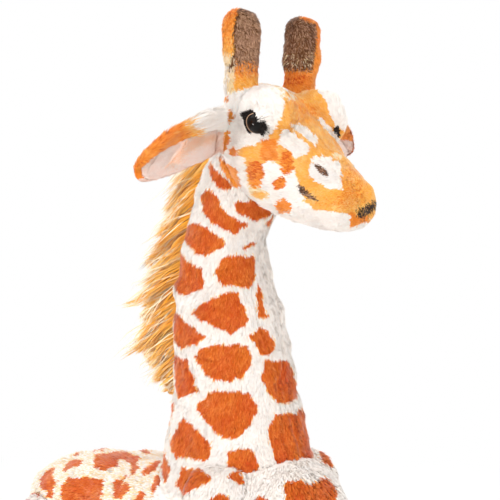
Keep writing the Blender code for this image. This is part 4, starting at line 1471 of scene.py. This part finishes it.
@dataclass
class Eye:
    """A domed safety eye with its tan ring, its lashes and the lid's fur."""

    side: str
    radius: float = 10.5 * MM
    dome: float = 6.2 * MM
    rim: float = 1.5 * MM
    ring_radius: float = 9.7 * MM
    wire: float = 0.32 * MM
    steps: int = 64
    felt_outline: tuple[tuple[float, float], ...] = ((10.3, 0.2), (10.6, 1.0), (11.3, 0.8), (12.2, -0.6),
                                                     (12.3, -3.6), (10.4, -3.6))
    lid_hairs: int = 560
    lid_line: float = 6.9 * MM
    bristle_hairs: int = 380

    @property
    def way(self) -> int:
        """The sense in which the eye is turned: 1 on the right side and -1 on the left."""
        return 1 if self.side == "right" else -1

    def build(self) -> None:
        """Make and dress one eye."""
        self.ball()
        self.ring()
        self.lashes()
        self.lid()
        self.bristles()

    def lathe(self, name: str, outline: list[tuple[float, float]], start_deg: float = 0.0,
              sweep_deg: float = 360.0) -> bpy.types.Mesh:
        """Spin an outline about the eye's middle.

        Args:
            name: the mesh's name.
            outline: the outline's radii and heights.
            start_deg: where the sweep starts, from the nose's side upwards.
            sweep_deg: how far it goes round.

        Returns:
            The mesh.
        """
        bm = bmesh.new()
        turn = math.radians(start_deg)
        corners = [bm.verts.new((radius * math.cos(turn) * self.way, radius * math.sin(turn), height))
                   for radius, height in outline]
        edges = [bm.edges.new(pair) for pair in zip(corners, corners[1:])]
        if outline[0][0] > 0:
            edges.append(bm.edges.new((corners[-1], corners[0])))
        bmesh.ops.spin(bm, geom=corners + edges, cent=(0, 0, 0), axis=(0, 0, self.way),
                       angle=math.radians(sweep_deg), steps=self.steps, use_merge=sweep_deg == 360)
        bmesh.ops.remove_doubles(bm, verts=bm.verts[:], dist=0.005 * MM)
        if sweep_deg < 360:
            bmesh.ops.holes_fill(bm, edges=[edge for edge in bm.edges if edge.is_boundary])
        bmesh.ops.recalc_face_normals(bm, faces=bm.faces[:])
        bmesh.ops.transform(bm, matrix=eye_frame(self.side), verts=bm.verts[:])
        mesh = bpy.data.meshes.new(name)
        bm.to_mesh(mesh)
        bm.free()
        mesh.shade_smooth()
        return mesh

    def ball(self) -> None:
        """Make the glossy dome with its rolled edge."""
        turns = [math.pi / 2 * step / 12 for step in range(1, 13)]
        outline = [(0.0, self.dome)]
        outline += [(self.radius * math.sin(turn), self.dome * math.cos(turn)) for turn in turns]
        outline += [(self.radius, -self.rim * 0.6), (self.radius - 0.4 * MM, -self.rim), (0.0, -self.rim)]
        place_piece(self.lathe("eye_ball_" + self.side, outline), "body", EYE_BLACK, ("eye_" + self.side,))

    def ring(self) -> None:
        """Make the thin tan ring, which shows on the side away from the nose."""
        height = self.dome * math.sqrt(1 - (self.ring_radius / self.radius) ** 2)
        turns = [math.tau * step / 10 for step in range(10)]
        outline = [(self.ring_radius + self.wire * math.cos(turn), height + self.wire * math.sin(turn))
                   for turn in turns]
        place_piece(self.lathe("eye_ring_" + self.side, outline, 92.0, 150.0), "body", RING_TAN)

    def lashes(self) -> None:
        """Make the fuzzy black felt round the ring, with its long lashes at the corner."""
        name = "eyelash_" + self.side
        outline = [(radius * MM, height * MM) for radius, height in self.felt_outline]
        skin = Skin.read(self.lathe(name + "_felt", outline, 106.0, 126.0))
        skin.wear(plain(Tone.BLACK), 60, "body", FELT_PILE, name)
        place = eye_frame(self.side)
        turned = np.array(place.to_3x3())
        middle, out = np.array(place.translation), turned[:, 2]
        rng = np.random.default_rng(61)
        roots, normals = skin.roots(11.0e6, rng)
        shown = normals @ out > -0.1
        roots, normals = roots[shown], normals[shown]
        spot = (roots - middle) @ turned
        turn = np.degrees(np.arctan2(spot[:, 1], spot[:, 0] * self.way)) % 360
        corner = np.exp(-((turn - 138) / 20) ** 2)[:, None]
        inward = (rng.random((len(roots), 1)) < 0.35) & (turn[:, None] < 130)
        ray = unit(roots - middle)
        apex = np.array((-0.74 * self.way, 0.66, 0.20)) @ turned.T
        away = ray * (1 - corner) + apex * corner + np.array((0, -0.5, 0)) @ turned.T * (turn[:, None] > 190)
        start = unit(np.where(inward, -ray * 0.5, away * 0.7) + out * 0.6)
        end = unit(np.where(inward, -ray, away) + out * 0.15)
        length = np.where(inward, 1.9, 2.4 + 7.0 * corner * rng.uniform(0.3, 1.0, corner.shape))[:, 0] * MM
        kept = rng.random(len(roots)) < 1 - 0.55 * corner[:, 0]
        roots, normals, start, end, length = (rows[kept] for rows in (roots, normals, start, end, length))
        locks = Locks(1.0, 0.42 * MM, 4, 2 * MM, gather=0.25, light_tip=0.6, seed=62)
        locks.comb(name + "_hair", roots, normals, start, end, Tone.BLACK.value, "body", FELT_PILE, length)

    def lid(self) -> None:
        """Comb white fur from the mound over the dome's upper side towards the nose."""
        rng = np.random.default_rng(65)
        count = self.lid_hairs
        place = eye_frame(self.side)
        turn = np.radians(rng.uniform(-12, 102, count))
        reach = rng.uniform(12.8, 17.5, count) * MM
        span = 1.06 * reach - self.lid_line / np.maximum(np.cos(turn - math.radians(45)), 0.5)
        flat = np.stack([reach * np.cos(turn) * self.way, reach * np.sin(turn), np.zeros(count)], 1)
        tree = solid_tree("head")
        hits = [tree.find_nearest(place @ Vector(spot)) for spot in flat]
        roots = np.array([hit[0] for hit in hits])
        normals = np.array([hit[1] for hit in hits])
        ray = unit(roots - np.array(place.translation))
        out = np.array(place.to_3x3() @ Vector((0, 0, 1)))
        start = unit(normals * 0.8 - ray * 0.6)
        end = unit(-ray + out * 0.12)
        locks = Locks(1.0, 0.6 * MM, 4, 3 * MM, gather=0.3, curl=0.12, length_spread=0.10,
                      light_root=0.45, light_tip=0.8, tilt=0.2, seed=66)
        locks.comb("eyelid_" + self.side, roots, normals, start, end, Tone.CREAM.value, "body", FACE_PILE,
                   span)

    def bristles(self) -> None:
        """Set loose black lashes over the dome's side towards the nose."""
        rng = np.random.default_rng(67)
        count = self.bristle_hairs
        turn = np.radians(rng.uniform(-62, 66, count))
        reach = rng.uniform(6.5, 11.0, count) * MM
        height = self.dome * np.sqrt(np.maximum(1 - (reach / self.radius) ** 2, 0.04))
        spots = np.stack([reach * np.cos(turn) * self.way, reach * np.sin(turn), height], 1)
        place = eye_frame(self.side)
        turned = np.array(place.to_3x3())
        roots = spots @ turned.T + np.array(place.translation)
        drop = np.where(turn < 0, np.sin(turn) * 1.1, rng.uniform(-0.75, -0.05, count))
        lie = np.stack([np.where(turn < 0, np.cos(turn), 0.9) * self.way, drop, np.full(count, 0.20)], 1)
        normals = np.tile(turned[:, 2], (count, 1))
        start = unit(lie @ turned.T + normals * 0.3)
        locks = Locks(5.4 * MM, 0.42 * MM, 3, 3 * MM, gather=0.15, length_spread=0.25, light_tip=0.5, seed=68)
        locks.comb("eye_bristles_" + self.side, roots, normals, start, unit(lie @ turned.T),
                   Tone.BLACK.value, "body", FELT_PILE)


def build_horn(side: str) -> None:
    """Make and dress a stuffed horn of brown plush with an orange back."""
    name = "horn_" + side
    skin = Skin.cut(name, 2 * MM, 4, ("head",), 1.5 * MM, lumps(70, 1.0 * MM, 0.03))
    skin.wear(horn_tones, 6, "body", HORN_PILE, name, 0.9)
    pile = Pile(4.2 * MM, 0.75 * MM, 2.6e6, combed((-0.1, 0.9, -1.0)), lift_deg=36, shade=0.58,
                tousle=0.3, grain=0.20, seed=71)
    pile.grow(skin, horn_tones, name + "_pile", "body", HORN_PILE)


@dataclass
class Ear:
    """A cupped ear: a furry orange leaf with a short pink lining."""

    side: str
    along: tuple[float, float, float]
    face: tuple[float, float, float]
    length: float = 105 * MM
    bend: float = 21 * MM
    cream_reach: float = 34 * MM
    blend: float = 13 * MM

    @property
    def upward(self) -> np.ndarray:
        """The way up across the ear."""
        return np.cross(self.face, self.along) * (-1 if self.side == "right" else 1)

    def pixels(self, points: np.ndarray) -> np.ndarray:
        """Project places of the ear, as if it were the near one, into the picture."""
        return VIEW.pixels(points * (1.0 if self.side == "right" else MIRROR))

    def spot(self, points: np.ndarray) -> np.ndarray:
        """Return places along the ear, up across it and out of its cup."""
        joint = next(item for item in frame["joints"] if item["child"] == "ear_" + self.side)
        offset = points - np.array(joint["pos_m"])
        reach = offset @ np.array(self.along)
        sag = self.bend * (reach / self.length) ** 2
        return np.stack([reach, offset @ self.upward + sag, offset @ np.array(self.face)], 1)

    def tones(self, points: np.ndarray, normals: np.ndarray, rng: np.random.Generator) -> np.ndarray:
        """Return the tone of each hair: orange, cream towards the root, pink on the lower rim."""
        along, up, _ = self.spot(points).T
        reach = along - 1.05 * (up - 12 * MM) - self.cream_reach
        tones = np.where(rng.random(len(points)) < 0.04, Tone.RUST.value, Tone.ORANGE.value)
        dye(tones, reach + rng.normal(0, self.blend / 2, len(points)) < self.blend, Tone.AMBER)
        dye(tones, reach + rng.normal(0, self.blend / 4, len(points)) < 0, Tone.CREAM)
        ahead = normals @ np.array(self.face)
        dye(tones, (up < -7 * MM) & (ahead > -0.2) & (along > 12 * MM), Tone.PINK)
        pixels = self.pixels(points)
        for outline in EAR_SPOTS:
            dye(tones, inside(outline, pixels), Tone.ORANGE)
        dye(tones, (ahead > 0) & fuzzy(EAR_ROOT, pixels, 0.8, rng), Tone.PINK)
        if self.side == "left":
            shown = VIEW.facing(points, normals) > -0.05
            dye(tones, shown & inside(FAR_LINING, VIEW.pixels(points)), Tone.PINK)
        return tones

    def lining_tones(self, points: np.ndarray, normals: np.ndarray, rng: np.random.Generator) -> np.ndarray:
        """Return the tone of each hair of the lining: pink, peach below its crease and at the root, and
        painted shade along the crease.
        """
        pixels = self.pixels(points)
        tones = np.where(fuzzy(LINING_PEACH, pixels, 2.5, rng), Tone.PEACH.value, Tone.PINK.value)
        # Painted shade along the crease: peach, with a tenth of the hairs brown.
        crease = line_distance(LINING_CREASE, pixels) < rng.uniform(0.2, 1.3, len(points))
        dye(tones, crease, Tone.PEACH)
        dye(tones, crease, Tone.BROWN, 0.10, rng)
        return tones

    def lining_swell(self, points: np.ndarray, normals: np.ndarray) -> np.ndarray:
        """Return the soft shape of the lining, with its crease and its rolled upper rim."""
        pixels = self.pixels(points)
        groove = 0.9 * MM * (1 - ease(line_distance(LINING_CREASE, pixels), 0.0, 5.0))
        rim = 1.3 * MM * (1 - ease(line_distance(LINING_RIM, pixels), 1.0, 4.5))
        return lumps(75, 0.5 * MM, 0.03)(points, normals) - groove + rim

    def trim(self, points: np.ndarray) -> np.ndarray:
        """Return the share of the fur's length, which is longest on the upper edge."""
        along, up, out = self.spot(points).T
        upper = 0.18 + 0.92 * ease(up, -0.008, 0.016)
        upper = upper + (0.95 - upper) * (1 - ease(along, 0.006, 0.020))
        back = ease(out, -7 * MM, -1 * MM)
        root = 0.45 + 0.55 * ease(along, 2 * MM, 12 * MM)
        root = root + 0.6 * ease(along, 8 * MM, 20 * MM) * (1 - ease(along, 44 * MM, 62 * MM))
        return upper * (1 - 0.35 * ease(along, 0.080, 0.105)) * (0.45 + 0.55 * back) * root

    def build(self) -> None:
        """Make and dress one ear."""
        name, lining = "ear_" + self.side, "ear_lining_" + self.side
        skin = Skin.cut(name, 1.8 * MM, 3, (lining, "head"), 1.0 * MM)
        skin.wear(self.tones, 7, name, FACE_PILE, name, 0.4)
        along = np.array(self.along)
        pile = Pile(7.5 * MM, 0.8 * MM, 3.0e6, combed(self.upward * 0.45 - along), lift_deg=34, droop_deg=10,
                    seed=73)
        pile.grow(skin, self.tones, name + "_pile", name, FACE_PILE, trim=self.trim)
        cloth = Skin.cut(lining, 1.3 * MM, 2, (), 0.6 * MM, self.lining_swell)
        cloth.wear(self.lining_tones, 9, name, LINING_PILE, lining, shade=0.7)
        short = Pile(2.2 * MM, 0.55 * MM, 4.5e6, combed(along + self.upward * 0.2), lift_deg=50, shade=0.80,
                     tousle=0.2, seed=74)
        short.grow(cloth, self.lining_tones, lining + "_pile", name, LINING_PILE,
                   keep=lambda spots: nearness(spots, (name,)) > 0.5 * MM)


@dataclass
class Mane:
    """The hair mane down the back of the neck."""

    strands: float = 0.88e6
    core_sink: float = 8 * MM
    reach: float = 0.040
    end_pixel: float = 406.0

    def build(self) -> None:
        """Make and dress the mane."""
        skin = Skin.cut("mane", 2.5 * MM, 3, ("neck", "head"), self.core_sink, part="core")
        rng = np.random.default_rng(80)

        def dyed(points: np.ndarray, normals: np.ndarray, tones: np.ndarray) -> np.ndarray:
            """Give the neck's own tones below the mane's end."""
            low = VIEW.pixels(points)[:, 1] > self.end_pixel
            return np.where(low, NECK_COAT(points, normals, rng), tones)

        gold = np.full(len(skin.centres), Tone.GOLD.value)
        skin.tint(dyed(skin.centres, skin.face_normals, gold), 0.36)
        place_piece(skin.mesh, "body", HAIR_PILE, ("mane",))
        roots, normals = skin.roots(self.strands, rng)
        count = len(roots)
        side = np.sign(normals[:, 1:2] + rng.normal(0, 0.3, (count, 1)))
        wisps = rng.random(count) < 0.11
        start = unit(normals * 0.25 + np.array((-1.0, 0, -0.45)))
        end = unit(np.array((-0.86, 0, -0.95)) + np.array((0, 0.08, 0)) * side
                   + np.array((-0.30, 0, 0.20)) * wisps[:, None])
        depth = nearness(roots, ("neck", "head"), self.reach) / self.reach
        tufts = 1 + 0.24 * np.clip(Waves(82, 26 * MM)(roots), -1.2, 1.5)
        fade = 1 - 0.80 * ease(VIEW.pixels(roots)[:, 1], 318, self.end_pixel)
        length = (1.0 - 0.55 * depth) * np.where(wisps, 1.65, 1.0) * tufts * fade
        # The wisps and more hairs towards the outside are STRAW: painted backlight on the mane's outer edge.
        pale = wisps | (rng.random(count) < 0.03 + 0.06 * depth)
        tones = dyed(roots, normals, np.where(pale, Tone.STRAW.value, Tone.GOLD.value))
        # The hairs lighten almost to the pale dye at their tips, which is also painted backlight.
        locks = Locks(46 * MM, 0.82 * MM, 4, 9 * MM, gather=0.62, curl=0.20, length_spread=0.28,
                      light_root=0.40, light_tip=0.94, tilt=0.15, herd=34, seed=81)
        locks.comb("mane_hair", roots, normals, start, end, tones, "body", HAIR_PILE, length)


def build_tail() -> None:
    """Make and dress the hanging tail with its hair tuft."""
    coat = Coat((), Cells(0.03, 7 * MM, 17), lowest_pixel=-99)
    skin = Skin.cut("tail", 1.8 * MM, 2, ("torso", "tail_tuft"), 1.0 * MM)
    skin.wear(coat, 8, "tail", COAT_PILE, "tail", 0.8)
    pile = Pile(4.0 * MM, 0.9 * MM, 1.6e6, combed((0, 0, -1)), lift_deg=38, seed=91)
    pile.grow(skin, coat, "tail_pile", "tail", COAT_PILE)
    core = Skin.cut("tail_tuft", 1.8 * MM, 2, ("tail",), 3.5 * MM, part="core")
    core.wear(plain(Tone.GOLD), 90, "tail", HAIR_PILE, "tail_tuft", shade=0.15)
    roots, normals = core.roots(1.1e6, np.random.default_rng(92))
    start = unit(normals * 0.8 + np.array((0, 0, -0.5)))
    end = unit(normals * 0.1 + np.array((0, 0, -1.0)))
    locks = Locks(34 * MM, 0.8 * MM, 5, 6 * MM, gather=0.5, light_root=0.12, light_tip=0.6, seed=93)
    locks.comb("tail_tuft_hair", roots, normals, start, end, Tone.GOLD.value, "tail", HAIR_PILE)


@dataclass
class Studio:
    """A plain pale floor and soft light from the left, from the front and from above."""

    floor_size: float = 30.0
    ambient: float = 0.90

    def build(self) -> None:
        """Make the floor, the world and the lamps."""
        bm = bmesh.new()
        bmesh.ops.create_grid(bm, x_segments=2, y_segments=2, size=self.floor_size)
        mesh = bpy.data.meshes.new("studio_floor")
        bm.to_mesh(mesh)
        bm.free()
        floor = bpy.data.objects.new("studio_floor", mesh)
        bpy.context.scene.collection.objects.link(floor)
        dress(floor, FloorFinish())
        self.world()
        self.lamp("key", (-0.5, -1.9, 1.9), 1.6, 15.0)
        self.lamp("catch", (-0.19, -0.89, 0.22), 0.07, 1.2)
        self.lamp("fill", (1.9, -0.7, 1.5), 1.8, 17.0)
        self.lamp("rim", (-1.4, 1.6, 1.7), 1.4, 14.0)

    def world(self) -> None:
        """Light the scene evenly, and show white behind it."""
        world = bpy.data.worlds.new("studio_white")
        bpy.context.scene.world = world
        tree = Tree(world)
        light = tree.nodes["Background"]
        tree.feed(light.inputs["Color"], WHITE)
        tree.feed(light.inputs["Strength"], self.ambient)
        white = tree.node("ShaderNodeBackground", {"Color": WHITE, "Strength": 1.0})
        tree.show("World Output", light, white, tree.seen())

    def lamp(self, name: str, place: tuple[float, float, float], size: float, power: float) -> None:
        """Hang one soft square lamp, turned to the toy."""
        data = bpy.data.lights.new(name, "AREA")
        data.size = size
        data.energy = power
        lamp = bpy.data.objects.new(name, data)
        lamp.location = place
        way = Vector((0.1, 0, 0.5)) - Vector(place)
        lamp.rotation_mode = "QUATERNION"
        lamp.rotation_quaternion = way.to_track_quat("-Z", "Y")
        bpy.context.scene.collection.objects.link(lamp)


def main() -> None:
    """Build the giraffe piece by piece, then the studio."""
    logging.basicConfig(level=logging.INFO, format="%(message)s")
    bpy.context.scene.view_settings.view_transform = "Standard"
    VIEW.make()
    Trunk().build()
    Head().build()
    for side in ("right", "left"):
        Eye(side).build()
        build_horn(side)
        dress(frame["nodes"]["eye_washer_" + side], WASHER_PALE)
    Ear("right", (-0.0319, -0.9893, -0.1423), (0.9130, 0.0291, -0.4069)).build()
    Ear("left", (-0.1899, 0.9805, 0.0504), (0.8936, 0.1939, -0.4049)).build()
    Mane().build()
    build_tail()
    Studio().build()


if __name__ == "__main__":
    main()
